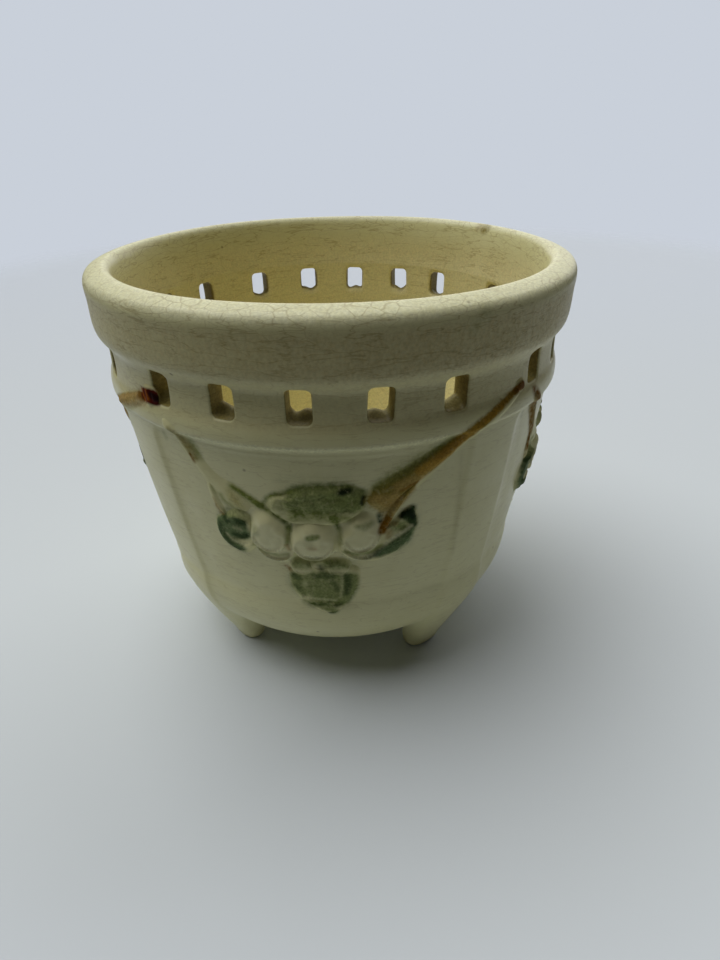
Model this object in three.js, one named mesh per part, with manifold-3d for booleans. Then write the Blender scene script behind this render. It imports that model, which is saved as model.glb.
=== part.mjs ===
// A glazed pottery planter: a round bowl on four feet, a band pierced with upright holes, a rolled
// rim, and a festoon of three roses, leaves and cords laid in each of four recessed panels.
// Lengths are millimetres and angles degrees. +Z is up, the first panel faces -Y, and the origin
// is on the ground under the middle of the bowl.
import * as THREE from 'three';
import { mergeVertices } from 'three/addons/utils/BufferGeometryUtils.js';
import Module from 'manifold-3d';

const wasm = await Module();
wasm.setup();

// Round pieces
const roundSteps = 60;
const panelCount = 4;
const clearance = 0.3;

// Bowl: underside, rounded base, and the wall that holds the panels
const standHeight = 8.7;
const baseHeight = 24;
const panelHeight = 48;
const underFlatRadius = 25;
const baseRadius = 52.8;
const ledgeDepth = 0.3;
const shoulderRadius = 60.6;
const wallBulge = 0.45;
const wallThickness = 6;
const floorThickness = 6;
const panelDepth = 1;

// Moulding below the holes
const sillHeight = 5;
const sillBead = 0.3;

// Pierced band
const holeWidth = 5.6;
const holeHeight = 8;
const holeCorner = 1.8;
const holeMargin = 1;
const holesPerPanel = 5;
const holePitch = 16.2;
const bandRecess = 0.6;

// Rolled rim
const rimHeight = 15.3;
const rimRadius = 63.5;
const lipWidth = 7.3;
const rimCove = 3;
const lipRounding = 2.6;

// Pilasters between the panels
const pilasterWidth = 15.6;
const pilasterChamfer = 0.5;

// Feet, which carry the pilasters on down to the ground
const soleRadius = 37.3;
const soleWidth = 12;
const soleDepth = 7.4;
const soleRounding = 1.5;
const footRootRise = 11;
const footProud = 1.6;

// Roses
const roseRise = 24;
const roseRadius = 6.9;
const roseHeight = 2.8;
const rosePetals = 5;
const petalScallop = 0.09;
const roseOverlap = 2.6;

// Leaves, berries and the pendant leaf
const leafLength = 17;
const leafWidth = 10.5;
const leafHeight = 1.5;
const berryWidth = 25;
const berryDrop = 11;
const berryHeight = 1.9;
const collarWidth = 16;
const collarDrop = 6;
const collarHeight = 1.6;
const pendantWidth = 18.6;
const pendantLength = 18;
const pendantHeight = 1.3;

// Cords
const cordWidth = 2.6;
const cordSpread = 6.4;
const cordHeight = 1.3;
const knotRadius = 1.8;
const knotHeight = 1.8;

// Levels and angles that follow from the sizes above
const degree = Math.PI / 180;
const ledgeZ = standHeight + baseHeight;
const shoulderZ = ledgeZ + panelHeight;
const bandZ = shoulderZ + sillHeight;
const bandHeight = holeHeight + 2 * holeMargin;
const rimZ = bandZ + bandHeight;
const topZ = rimZ + rimHeight;
const bandRadius = shoulderRadius - bandRecess;
const innerRadius = shoulderRadius - wallThickness;
const lipInnerRadius = rimRadius - lipWidth;
const rootZ = standHeight + footRootRise;
const panelAngle = 360 / panelCount;
const outerHoleAngle = holePitch * (holesPerPanel - 1) / 2;
const roseZ = ledgeZ + roseRise;
const roseSpacing = 2 * roseRadius - roseOverlap;

// Surfaces that other pieces follow

// The turned outside of the bowl: the round of the base, then the sunk face of the panels
function groundRadius(z) {
  if (z < ledgeZ) {
    const drop = Math.min((ledgeZ - z) / baseHeight, 1);
    return underFlatRadius + (baseRadius - underFlatRadius) * Math.sqrt(1 - drop * drop);
  }
  const share = Math.min((z - ledgeZ) / panelHeight, 1);
  const straight = THREE.MathUtils.lerp(baseRadius - ledgeDepth, shoulderRadius - panelDepth, share);
  return straight + wallBulge * 4 * share * (1 - share);
}

// How far a laid piece climbs to pass over a pilaster, the moulding or the ledge of the base
function climb(across, z) {
  const ramp = (height, room) => height * (1 - THREE.MathUtils.smoothstep(room, height, height * 4));
  const quarter = groundRadius(z) * panelAngle * degree / 2;
  const side = ramp(panelDepth, quarter - pilasterWidth / 2 - Math.abs(across));
  const top = ramp(panelDepth + sillBead, shoulderZ - z);
  const bottom = z < ledgeZ ? 0 : ramp(ledgeDepth, z - ledgeZ);
  return Math.max(side, top, bottom);
}

// A point laid on the wall: across to the right of the panel's middle, at z, and height above it
function onWall(across, z, height) {
  const ground = groundRadius(z);
  const angle = across / ground;
  const radius = ground + climb(across, z) + clearance + height;
  return new THREE.Vector3(radius * Math.sin(angle), -radius * Math.cos(angle), z);
}

// Closed meshes

// Shares the corners of touching faces and drops the empty triangles
function shared(geometry) {
  geometry.deleteAttribute('normal');
  geometry.deleteAttribute('uv');
  const merged = mergeVertices(geometry, 1e-4);
  const corners = merged.getIndex().array;
  const kept = [];
  for (let i = 0; i < corners.length; i += 3) {
    const [p, q, r] = corners.slice(i, i + 3);
    if (p !== q && q !== r && r !== p) {
      kept.push(p, q, r);
    }
  }
  merged.setIndex(kept);
  return merged;
}

// Turns every face outwards
function facingOut(geometry) {
  const place = geometry.getAttribute('position');
  const corners = Array.from(geometry.getIndex().array);
  const [a, b, c] = [new THREE.Vector3(), new THREE.Vector3(), new THREE.Vector3()];
  let volume = 0;
  for (let i = 0; i < corners.length; i += 3) {
    a.fromBufferAttribute(place, corners[i]);
    b.fromBufferAttribute(place, corners[i + 1]);
    c.fromBufferAttribute(place, corners[i + 2]);
    volume += a.dot(b.cross(c));
  }
  if (volume < 0) {
    geometry.setIndex(corners.reverse());
  }
  return geometry;
}

function closed(geometry) {
  return facingOut(shared(geometry));
}

// Moves every corner of a unit shape to the point that the rule gives for it
function reshaped(geometry, rule) {
  const unit = shared(geometry);
  const place = unit.getAttribute('position');
  for (let i = 0; i < place.count; i += 1) {
    const moved = rule(place.getX(i), place.getY(i), place.getZ(i));
    place.setXYZ(i, moved.x, moved.y, moved.z);
  }
  return facingOut(unit);
}

function toSolid(geometry) {
  const place = geometry.getAttribute('position');
  return new wasm.Manifold(new wasm.Mesh({
    numProp: 3,
    vertProperties: new Float32Array(place.array),
    triVerts: new Uint32Array(geometry.getIndex().array),
  }));
}

function toGeometry(solid) {
  const mesh = solid.getMesh();
  const geometry = new THREE.BufferGeometry();
  geometry.setAttribute('position', new THREE.BufferAttribute(mesh.vertProperties, 3));
  geometry.setIndex(new THREE.BufferAttribute(mesh.triVerts, 1));
  return geometry;
}

function joined(first, ...others) {
  return toGeometry(others.reduce((whole, other) => whole.add(toSolid(other)), toSolid(first)));
}

function cut(geometry, ...cutters) {
  return toGeometry(cutters.reduce((left, cutter) => left.subtract(toSolid(cutter)), toSolid(geometry)));
}

// A round piece turned from a profile of [radius, z] corners, stood upright
function turned(profile) {
  const points = profile.map(([radius, z]) => new THREE.Vector2(radius, z));
  const lathe = new THREE.LatheGeometry(points, roundSteps);
  return closed(lathe.rotateX(Math.PI / 2));
}

function arcCorners(centreRadius, centreZ, radiusReach, zReach, from, to, steps) {
  const curve = new THREE.EllipseCurve(
    centreRadius, centreZ, radiusReach, zReach, from * degree, to * degree, from > to);
  return curve.getPoints(steps).map((point) => [point.x, point.y]);
}

// Bowl: a turned cup with a thick floor, its outside sunk where the panels are
const baseSteps = 6;
const wallSteps = 3;

function baseProfile(grown) {
  const reach = baseRadius - underFlatRadius;
  return arcCorners(underFlatRadius, ledgeZ, reach + grown, baseHeight + grown, -90, 0, baseSteps);
}

function bowlShape() {
  const inside = arcCorners(underFlatRadius, ledgeZ, baseRadius - wallThickness - underFlatRadius,
    baseHeight - floorThickness, 0, -90, baseSteps - 1);
  const panelFace = [];
  for (let step = 0; step <= wallSteps; step += 1) {
    const z = ledgeZ + panelHeight * step / wallSteps;
    panelFace.push([groundRadius(z), z]);
  }
  const profile = [
    [0, standHeight],
    ...baseProfile(0),
    ...panelFace,
    [innerRadius, shoulderZ],
    ...inside,
    [0, standHeight + floorThickness],
  ];
  return turned(profile);
}

// Moulding below the holes: a ring whose beaded edge overhangs the panels
function sillShape() {
  const beadRadius = shoulderRadius + sillBead;
  return turned([
    [innerRadius, shoulderZ],
    [shoulderRadius, shoulderZ],
    [beadRadius, shoulderZ + sillHeight * 0.25],
    [beadRadius, shoulderZ + sillHeight * 0.6],
    [bandRadius, bandZ],
    [innerRadius, bandZ],
    [innerRadius, shoulderZ],
  ]);
}

// Pierced band: a ring with a group of tall round-cornered holes over each panel
function holeShape() {
  const half = holeWidth / 2;
  const corner = Math.min(holeCorner, half * 0.9);
  const outline = new THREE.Shape();
  outline.moveTo(-half + corner, 0);
  outline.lineTo(half - corner, 0);
  outline.absarc(half - corner, corner, corner, -Math.PI / 2, 0);
  outline.lineTo(half, holeHeight - corner);
  outline.absarc(half - corner, holeHeight - corner, corner, 0, Math.PI / 2);
  outline.lineTo(-half + corner, holeHeight);
  outline.absarc(-half + corner, holeHeight - corner, corner, Math.PI / 2, Math.PI);
  outline.lineTo(-half, corner);
  outline.absarc(-half + corner, corner, corner, Math.PI, Math.PI * 1.5);
  const depth = wallThickness * 3;
  const prism = new THREE.ExtrudeGeometry(outline, { depth, bevelEnabled: false, curveSegments: 2 });
  prism.rotateX(Math.PI / 2);
  prism.translate(0, -(bandRadius - depth / 2 - wallThickness / 2), bandZ + holeMargin);
  return prism;
}

function bandShape() {
  const ring = turned([
    [innerRadius, bandZ],
    [bandRadius, bandZ],
    [bandRadius, rimZ],
    [innerRadius, rimZ],
    [innerRadius, bandZ],
  ]);
  const holes = [];
  for (let panel = 0; panel < panelCount; panel += 1) {
    for (let hole = 0; hole < holesPerPanel; hole += 1) {
      const angle = panel * panelAngle + hole * holePitch - outerHoleAngle;
      holes.push(closed(holeShape().rotateZ(angle * degree)));
    }
  }
  return cut(ring, ...holes);
}

// Rim: a thick rolled band that coves out from the pierced band and ends in a flat round-edged lip
function rimShape() {
  const lipZ = topZ - lipRounding;
  const neckRadius = rimRadius - 0.6;
  const cove = arcCorners(neckRadius, rimZ, neckRadius - bandRadius, rimCove, 180, 90, 3);
  const outer = arcCorners(rimRadius - lipRounding, lipZ, lipRounding, lipRounding, 0, 90, 3);
  const inner = arcCorners(lipInnerRadius + lipRounding, lipZ, lipRounding, lipRounding, 90, 180, 3);
  return turned([
    [innerRadius, rimZ],
    ...cove,
    ...outer,
    ...inner,
    [innerRadius, rimZ],
  ]);
}

// Pilaster: a flat strip with sloped edges, laid on the wall from the foot to the moulding
function pilasterShape() {
  const levels = [rootZ, (rootZ + ledgeZ) / 2, ledgeZ];
  for (let step = 1; step <= wallSteps; step += 1) {
    levels.push(ledgeZ + panelHeight * step / wallSteps);
  }
  const box = new THREE.BoxGeometry(1, 1, 1, 4, 1, levels.length - 1);
  return reshaped(box, (x, y, z) => {
    const outer = y < 0;
    const height = levels[Math.round((z + 0.5) * (levels.length - 1))];
    const half = pilasterWidth / 2 - (outer ? pilasterChamfer : 0);
    const ground = height === ledgeZ ? baseRadius : groundRadius(height);
    const radius = ground + (outer ? panelDepth : clearance);
    const angle = 2 * x * half / ground;
    return new THREE.Vector3(radius * Math.sin(angle), -radius * Math.cos(angle), height);
  });
}

// The room that the round of the base takes up in what is laid against it
function baseRoom() {
  return turned([
    [0, standHeight - clearance],
    ...baseProfile(clearance),
    [0, ledgeZ],
  ]);
}

// Foot: a stub with a flat sole, which spreads up into the pilaster and is cut to the base
function footShape() {
  const levels = [0, 0.08, 0.25, 0.45, 0.7, 1];
  const rootRadius = groundRadius(rootZ) + footProud;
  const nub = new THREE.CylinderGeometry(1, 1, 1, 12, levels.length - 1);
  const foot = reshaped(nub, (x, y, z) => {
    const level = Math.round((y + 0.5) * (levels.length - 1));
    const rounding = level === 0 ? soleRounding : 0;
    const share = levels[level];
    const outer = THREE.MathUtils.lerp(soleRadius + soleDepth / 2, rootRadius, share ** 0.8);
    const inner = soleRadius - soleDepth / 2;
    const halfWidth = THREE.MathUtils.lerp(soleWidth, pilasterWidth, share ** 0.6) / 2 - rounding;
    const halfDepth = (outer - inner) / 2 - rounding;
    return new THREE.Vector3(x * halfWidth, -(outer + inner) / 2 - z * halfDepth, rootZ * share);
  });
  return cut(foot, baseRoom());
}

// Laid relief: a pillow whose edge follows an outline and whose crown follows a rule.
// The outline gives the reach at an angle. The rule gives the height at an angle and a share of
// the reach, up to 1. A grown pillow is the room that the piece needs in its neighbours.
function pillow(middle, outline, crown, rings, floorRings, sides, grown = 0) {
  const floor = floorRings.map((share) => new THREE.Vector2(share, 0));
  const top = rings.map((share) => new THREE.Vector2(share, 1)).reverse();
  const lathe = new THREE.LatheGeometry([...floor, ...top], sides);
  return reshaped(lathe, (x, y, z) => {
    const share = Math.hypot(x, z);
    const angle = Math.atan2(z, x);
    const reach = share * (outline(angle) + grown);
    const depth = grown > 0 ? -wallThickness / 2 : 0;
    const height = grown > 0 ? wallThickness : crown(angle, share);
    return onWall(middle.x + reach * Math.cos(angle), middle.y + reach * Math.sin(angle),
      y > 0 ? height : depth);
  });
}

// A strand along a flat route, half round in section, its width running from start to end
function strand(route, startWidth, endWidth, height, grown = 0) {
  const curve = new THREE.SplineCurve(route);
  const steps = (route.length - 1) * 2 + 1;
  return reshaped(new THREE.CylinderGeometry(1, 1, 1, 6, steps), (x, y, z) => {
    const share = y + 0.5;
    const point = curve.getPoint(share);
    const along = curve.getTangent(share);
    const half = THREE.MathUtils.lerp(startWidth, endWidth, share) / 2 + grown;
    const end = grown * Math.sign(y) * (Math.abs(y) > 0.49 ? 1 : 0);
    const top = grown > 0 ? wallThickness : height;
    const bottom = grown > 0 ? -wallThickness / 2 : 0;
    return onWall(point.x + along.x * end - along.y * half * x,
      point.y + along.y * end + along.x * half * x, z > 0.01 ? z * top : bottom);
  });
}

// Rose: a raised button in a ring of petals, with a scalloped edge
const roseRings = [0, 0.3, 0.42, 0.75, 0.97];

function roseOutline(angle) {
  return roseRadius * (1 - petalScallop + petalScallop * Math.abs(Math.cos(rosePetals * angle / 2)));
}

function roseCrown(angle, share) {
  if (share < 0.35) {
    return roseHeight * 0.85;
  }
  if (share < 0.5) {
    return roseHeight * 0.62;
  }
  const petal = 0.82 + 0.18 * Math.abs(Math.cos(rosePetals * angle / 2));
  return roseHeight * (share < 0.9 ? petal : 0.45);
}

function rose(middle, grown = 0) {
  return pillow(middle, roseOutline, roseCrown, roseRings, [0, 1], 15, grown);
}

// Leaf: an oval pointed at both ends, with a raised middle rib, leaning by an angle
const leafRings = [0, 0.5, 0.95];

function leaf(middle, width, length, height, lean, grown = 0) {
  const outline = (angle) => {
    const along = Math.cos(angle - lean);
    const aside = Math.sin(angle - lean);
    const oval = 1 / Math.hypot(2 * along / length, 2 * aside / width);
    return oval * (1 - 0.16 * Math.abs(Math.sin(2 * (angle - lean))));
  };
  const crown = (angle, share) => {
    const rib = Math.abs(Math.cos(angle - lean));
    return height * (share < 0.1 ? 1 : (1 - share * 0.45) * (0.7 + 0.3 * rib));
  };
  return pillow(middle, outline, crown, leafRings, [0, 0.5, 1], 12, grown);
}

// Berries: a low mass with knobs in two rings, which fills the space over the roses
function berries(middle, grown = 0) {
  const outline = (angle) => {
    const oval = 1 / Math.hypot(2 * Math.cos(angle) / berryWidth, 2 * Math.sin(angle) / berryDrop);
    return oval * (0.94 + 0.06 * Math.cos(8 * angle));
  };
  const crown = (angle, share) => {
    const knob = 0.8 + 0.2 * Math.cos(8 * angle + share * 6);
    return berryHeight * knob * (share > 0.9 ? 0.5 : 1);
  };
  return pillow(middle, outline, crown, [0, 0.35, 0.7, 0.97], [0, 0.5, 1], 16, grown);
}

// Festoon of one panel, laid out round the middle rose
const middleRose = new THREE.Vector2(0.7, roseZ - 1.5);
const leftRose = new THREE.Vector2(middleRose.x - roseSpacing * 0.93, roseZ - 0.8);
const rightRose = new THREE.Vector2(middleRose.x + roseSpacing * 1.03, roseZ - 1);
const leftLeaf = new THREE.Vector2(leftRose.x - roseRadius - leafWidth * 0.3, roseZ - 1);
const rightLeaf = new THREE.Vector2(rightRose.x + roseRadius + leafWidth * 0.18, roseZ);
const berryMiddle = new THREE.Vector2(1.5, roseZ + roseRadius + berryDrop * 0.26);
const collarMiddle = new THREE.Vector2(2, roseZ - roseRadius - collarDrop * 0.58);
const pendantMiddle = new THREE.Vector2(3, collarMiddle.y - pendantLength * 0.42);

// The cords run from the end holes down to the flowers and fork above them
const holeFootZ = bandZ + holeMargin;
const bandEdge = bandRadius * degree;
const leftHole = new THREE.Vector2(-outerHoleAngle * bandEdge, holeFootZ - cordWidth * 0.6);
const rightHole = new THREE.Vector2(
  (panelAngle - outerHoleAngle) * bandEdge - holeWidth / 2 - knotRadius - clearance, holeFootZ + 0.6);
const leftFork = new THREE.Vector2(leftRose.x - roseRadius * 1.95, roseZ + roseRadius * 2.1);
const rightFork = new THREE.Vector2(rightRose.x + roseRadius * 2.4, roseZ + roseRadius * 2.7);
const leftRoute = [
  leftHole,
  new THREE.Vector2(leftHole.x + 1.6, shoulderZ + 0.5),
  new THREE.Vector2((leftHole.x + leftFork.x) / 2, (shoulderZ + leftFork.y) / 2),
  leftFork,
  new THREE.Vector2(leftRose.x - 0.5, roseZ + roseRadius * 1.25),
];
const leftDrop = [
  leftFork,
  new THREE.Vector2(leftFork.x - 1.2, leftFork.y - roseRadius * 0.8),
  new THREE.Vector2(leftFork.x - 1.4, leftFork.y - roseRadius * 1.5),
];
const rightRoute = [
  rightHole,
  new THREE.Vector2(THREE.MathUtils.lerp(rightHole.x, rightFork.x, 0.55), shoulderZ + 0.2),
  rightFork,
  new THREE.Vector2(rightRose.x + roseRadius * 0.5, roseZ + roseRadius * 1.65),
];
const rightDrop = [
  rightFork,
  new THREE.Vector2(rightFork.x - roseRadius * 0.7, rightFork.y - roseRadius * 1.2),
  new THREE.Vector2(rightFork.x - roseRadius * 1.1, rightFork.y - roseRadius * 2),
];

function knot(grown = 0) {
  const ring = () => knotRadius;
  const crown = (angle, share) => knotHeight * (share < 0.8 ? 1 : 0.4);
  return pillow(rightHole, ring, crown, [0, 0.6, 1], [0, 1], 8, grown);
}

function leftCord(grown = 0) {
  return joined(
    strand(leftRoute, cordWidth * 0.9, cordWidth * 1.2, cordHeight, grown),
    strand(leftDrop, cordWidth * 0.9, cordWidth * 0.8, cordHeight, grown));
}

function rightCord(grown = 0) {
  return joined(
    strand(rightRoute, cordWidth, cordSpread, cordHeight, grown),
    strand(rightDrop, cordWidth * 0.9, cordWidth, cordHeight, grown));
}

function festoon() {
  const lean = 72 * degree;
  const roseRooms = [rose(middleRose, clearance), rose(leftRose, clearance), rose(rightRose, clearance)];
  const leftCordRoom = leftCord(clearance);
  const rightCordRoom = rightCord(clearance);
  const leafRooms = [
    leaf(leftLeaf, leafWidth, leafLength * 0.86, leafHeight, Math.PI - lean, clearance),
    leaf(rightLeaf, leafWidth * 1.2, leafLength, leafHeight, lean, clearance),
  ];
  const collarRoom = leaf(collarMiddle, collarDrop, collarWidth, collarHeight, 0, clearance);
  return {
    rose_centre: rose(middleRose),
    rose_left: cut(rose(leftRose), roseRooms[0]),
    rose_right: cut(rose(rightRose), roseRooms[0]),
    leaf_left: cut(leaf(leftLeaf, leafWidth, leafLength * 0.86, leafHeight, Math.PI - lean),
      roseRooms[1], leftCordRoom),
    leaf_right: cut(leaf(rightLeaf, leafWidth * 1.2, leafLength, leafHeight, lean),
      roseRooms[2], rightCordRoom),
    berries: cut(berries(berryMiddle), ...roseRooms, leftCordRoom, rightCordRoom, leafRooms[1]),
    collar: cut(leaf(collarMiddle, collarDrop, collarWidth, collarHeight, 0), ...roseRooms),
    pendant_leaf: cut(leaf(pendantMiddle, pendantWidth, pendantLength, pendantHeight, Math.PI / 2),
      collarRoom, ...roseRooms, baseRoom()),
    cord_left: cut(leftCord(), roseRooms[1]),
    cord_right: cut(rightCord(), roseRooms[2], knot(clearance)),
    knot: knot(),
  };
}

// Colours of the glaze and of the painted relief
const glazeColour = 0xa9ab8e;
const finishes = {
  rose: { color: 0xb3b394, roughness: 0.34 },
  leaf: { color: 0x4f5f4c, roughness: 0.4 },
  berries: { color: 0x5b664d, roughness: 0.4 },
  collar: { color: 0x7c8364, roughness: 0.38 },
  pendant: { color: 0x55634a, roughness: 0.4 },
  cord: { color: 0x8c6a45, roughness: 0.4 },
  knot: { color: 0x6b2c1c, roughness: 0.36 },
};

function glazed(name, geometry, finish = { color: glazeColour, roughness: 0.32 }) {
  const material = new THREE.MeshStandardMaterial({ ...finish, metalness: 0 });
  const mesh = new THREE.Mesh(geometry, material);
  mesh.name = name;
  return mesh;
}

// The planter, from the bowl outwards
const planter = new THREE.Group();
planter.add(glazed('bowl', bowlShape()));
planter.add(glazed('sill_moulding', sillShape()));
planter.add(glazed('pierced_band', bandShape()));
planter.add(glazed('rim', rimShape()));

const pilaster = pilasterShape();
const foot = footShape();
const relief = festoon();

for (let side = 1; side <= panelCount; side += 1) {
  const corner = new THREE.Group();
  corner.rotation.z = (side - 0.5) * panelAngle * degree;
  corner.add(glazed(`pilaster_${side}`, pilaster));
  corner.add(glazed(`foot_${side}`, foot));
  planter.add(corner);

  const panel = new THREE.Group();
  panel.rotation.z = (side - 1) * panelAngle * degree;
  for (const [piece, geometry] of Object.entries(relief)) {
    const finish = finishes[piece.split('_')[0]];
    panel.add(glazed(`${piece}_${side}`, geometry, finish));
  }
  planter.add(panel);
}

export default planter;
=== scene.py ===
import math

import bmesh
import bpy
import numpy as np
from mathutils import Matrix, Vector


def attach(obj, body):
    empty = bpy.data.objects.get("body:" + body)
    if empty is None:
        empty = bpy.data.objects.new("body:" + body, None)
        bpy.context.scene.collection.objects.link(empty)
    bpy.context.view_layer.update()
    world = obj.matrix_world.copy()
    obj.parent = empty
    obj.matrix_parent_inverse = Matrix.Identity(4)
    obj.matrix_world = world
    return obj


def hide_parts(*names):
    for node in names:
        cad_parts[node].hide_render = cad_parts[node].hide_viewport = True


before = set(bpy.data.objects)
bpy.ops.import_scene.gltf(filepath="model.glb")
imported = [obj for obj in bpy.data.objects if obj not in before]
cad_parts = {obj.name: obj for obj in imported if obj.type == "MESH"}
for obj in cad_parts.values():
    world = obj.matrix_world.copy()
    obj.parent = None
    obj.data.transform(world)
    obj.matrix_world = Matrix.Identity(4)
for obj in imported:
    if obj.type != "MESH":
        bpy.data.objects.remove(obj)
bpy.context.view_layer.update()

# Bowl: the cast cup of pale clay that everything else belongs to. Its outside is sunk into four
# panels, with a flat pilaster left standing between each two, over a plain round base.
# It comes out of one mould, is trimmed while soft, fired, painted and covered with ivory glaze.
MM = 0.001
LEDGE_R, LEDGE_Z = 52.5, 32.7
PANEL_TALL, PANEL_FLARE, PANEL_BELLY = 48, 7.1, 1.8
BASE_R, BASE_SPREAD, BASE_TALL = 25, 27.8, 24
BASE_CURVE, BASE_POWER = 2.22, 0.9
PILASTER_FROM = 9.5
BOWL_TOP = 82.4
HOLES_FROM, HOLES_TO = 86, 94.8
JOINT_ANGLE = math.radians(50)
BOWL_STEPS = 600


def soft(start, end, value):
    """Goes from 0 to 1 with a soft start and end."""
    share = np.clip((value - start) / (end - start), 0, 1)
    return share * share * (3 - 2 * share)


def flowing(corners, steps):
    """A smooth line through the corners, with so many points from each corner to the next."""
    c = np.array([2 * np.array(corners[0]) - corners[1], *corners, 2 * np.array(corners[-1]) - corners[-2]])
    line = []
    for i in range(1, len(c) - 2):
        for t in np.arange(steps) / steps:
            line.append(0.5 * (2 * c[i] + (c[i + 1] - c[i - 1]) * t
                               + (2 * c[i - 1] - 5 * c[i] + 4 * c[i + 1] - c[i + 2]) * t * t
                               + (3 * c[i] - c[i - 1] - 3 * c[i + 1] + c[i + 2]) * t ** 3))
    return [tuple(p) for p in line] + [tuple(c[-2])]


def panel_ground(z):
    """Radius of the sunk face of the panels, and of the round base below them."""
    share = np.clip((z - LEDGE_Z) / PANEL_TALL, 0, 1.2)
    face = LEDGE_R + PANEL_FLARE * share + PANEL_BELLY * share * (1 - share)
    down = np.clip((LEDGE_Z - z) / BASE_TALL, 0, 1) ** BASE_CURVE
    base = BASE_R + BASE_SPREAD * np.clip(1 - down, 0, 1) ** (1 / BASE_CURVE)
    lip = 0.3 * (1 - soft(LEDGE_Z - 0.5, LEDGE_Z + 1.6, z))
    return np.where(z < LEDGE_Z, base, face + lip)


def base_point(climb):
    """Radius and height on the round base, at an angle climbed from its underside."""
    r = BASE_R + BASE_SPREAD * np.sin(climb) ** BASE_POWER
    return r, LEDGE_Z - BASE_TALL * np.cos(climb) ** BASE_POWER


# the outside from the top of the panels to the rim, radius and height
UPPER_OUTSIDE = flowing([
    (59.53, 78.6), (59.66, 79.5), (59.95, 80.2), (60.42, 80.7), (60.85, 81.1), (61.05, 81.65), (61.1, 82.4),
    (61.08, 83.5), (60.9, 84.6), (60.6, 85.6), (60.32, 86.5), (60.2, 87.6), (60.15, 90.5), (60.2, 92.2),
    (60.35, 93.3), (60.75, 94.1), (61.35, 94.9), (62.0, 95.8), (62.5, 96.9), (62.8, 98.6), (63.0, 101.0),
    (63.2, 104.0), (63.4, 106.5), (63.38, 107.8), (63.05, 108.9), (62.4, 109.7), (61.5, 110.2)], 5)
UPPER_R, UPPER_Z = np.array(UPPER_OUTSIDE).T


def placed(radius, angle, z):
    """Points at a radius, an angle from -Y towards +X, and a height."""
    return np.stack([radius * np.sin(angle), -radius * np.cos(angle), z], 1)


def plain_skin(z):
    """Radius of the outside in the middle of a panel, and of the mouldings over it."""
    return np.where(z < 78.7, panel_ground(z), np.interp(z, UPPER_Z, UPPER_R))


def pilaster_rise(angle, z):
    """How far the four pilasters stand proud of the panels, whose upper corners are round."""
    ground = panel_ground(z)
    turn = np.mod(angle, math.pi / 2) - math.pi / 4
    corner_wide, corner_from, corner_tall, crease = 3.4, 77, 3.8, 0.14
    round_corner = corner_wide * (1 - np.sqrt(1 - np.clip((z - corner_from) / corner_tall, 0, 1) ** 2))
    aside = np.abs(turn) * ground - round_corner
    # a crisp edge on a wide soft slope, which fades out on the base and under the sill
    crisp, slope = 1 - soft(6.8, 8.8, aside), 1 - soft(6.4, 12.8, aside)
    proud = ground + (0.38 * crisp + 0.5 * slope) * soft(PILASTER_FROM, 17, z) - plain_skin(z)
    return 0.5 * (proud + np.hypot(proud, crease) - crease) * (1 - soft(80.5, 82, z))


def skin(angle, z):
    """Radius of the finished outside, without the festoons. The angle is from -Y towards +X."""
    return plain_skin(z) + pilaster_rise(angle, z)


def turned(outline, steps, closed_outline):
    """Spins an outline of radius and height round the bowl's axis, in eight like sectors."""
    sector = bmesh.new()
    points = [sector.verts.new((r * MM, 0, z * MM)) for r, z in outline]
    edges = [sector.edges.new(pair) for pair in zip(points, points[1:])]
    if closed_outline:
        edges.append(sector.edges.new((points[-1], points[0])))
    bmesh.ops.spin(sector, geom=points + edges, cent=(0, 0, 0), axis=(0, 0, 1), angle=math.pi / 4,
                   steps=steps // 8)
    one = bpy.data.meshes.new("sector")
    sector.to_mesh(one)
    sector.free()
    mesh = bmesh.new()
    for _ in range(8):
        bmesh.ops.rotate(mesh, verts=mesh.verts[:], matrix=Matrix.Rotation(math.pi / 4, 3, "Z"))
        mesh.from_mesh(one)
    bmesh.ops.remove_doubles(mesh, verts=mesh.verts[:], dist=1e-6)
    bmesh.ops.recalc_face_normals(mesh, faces=mesh.faces[:])
    return mesh


def corners_of(piece):
    """The corners of a piece, in millimetres."""
    flat = np.empty(len(piece.data.vertices) * 3)
    piece.data.vertices.foreach_get("co", flat)
    return flat.reshape(-1, 3) / MM


def move_corners(piece, corners):
    piece.data.vertices.foreach_set("co", (corners * MM).ravel())
    piece.data.update()


def smooth_piece(name, mesh):
    """Makes a smooth-shaded piece of a mesh."""
    data = bpy.data.meshes.new(name)
    mesh.to_mesh(data)
    mesh.free()
    data.polygons.foreach_set("use_smooth", [True] * len(data.polygons))
    piece = bpy.data.objects.new(name, data)
    bpy.context.collection.objects.link(piece)
    return piece


def stacked(mesh, rings):
    """Joins closed rings of points, in millimetres, and gives back the first and last."""
    rows = [[mesh.verts.new(point) for point in ring * MM] for ring in rings]
    for before, row in zip(rows, rows[1:]):
        for i in range(len(row)):
            j = (i + 1) % len(row)
            mesh.faces.new((before[i], before[j], row[j], row[i]))
    return rows[0], rows[-1]


def around(corners):
    """Angle from -Y towards +X, and radius, of each corner."""
    return np.arctan2(corners[:, 0], -corners[:, 1]), np.hypot(corners[:, 0], corners[:, 1])


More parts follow.
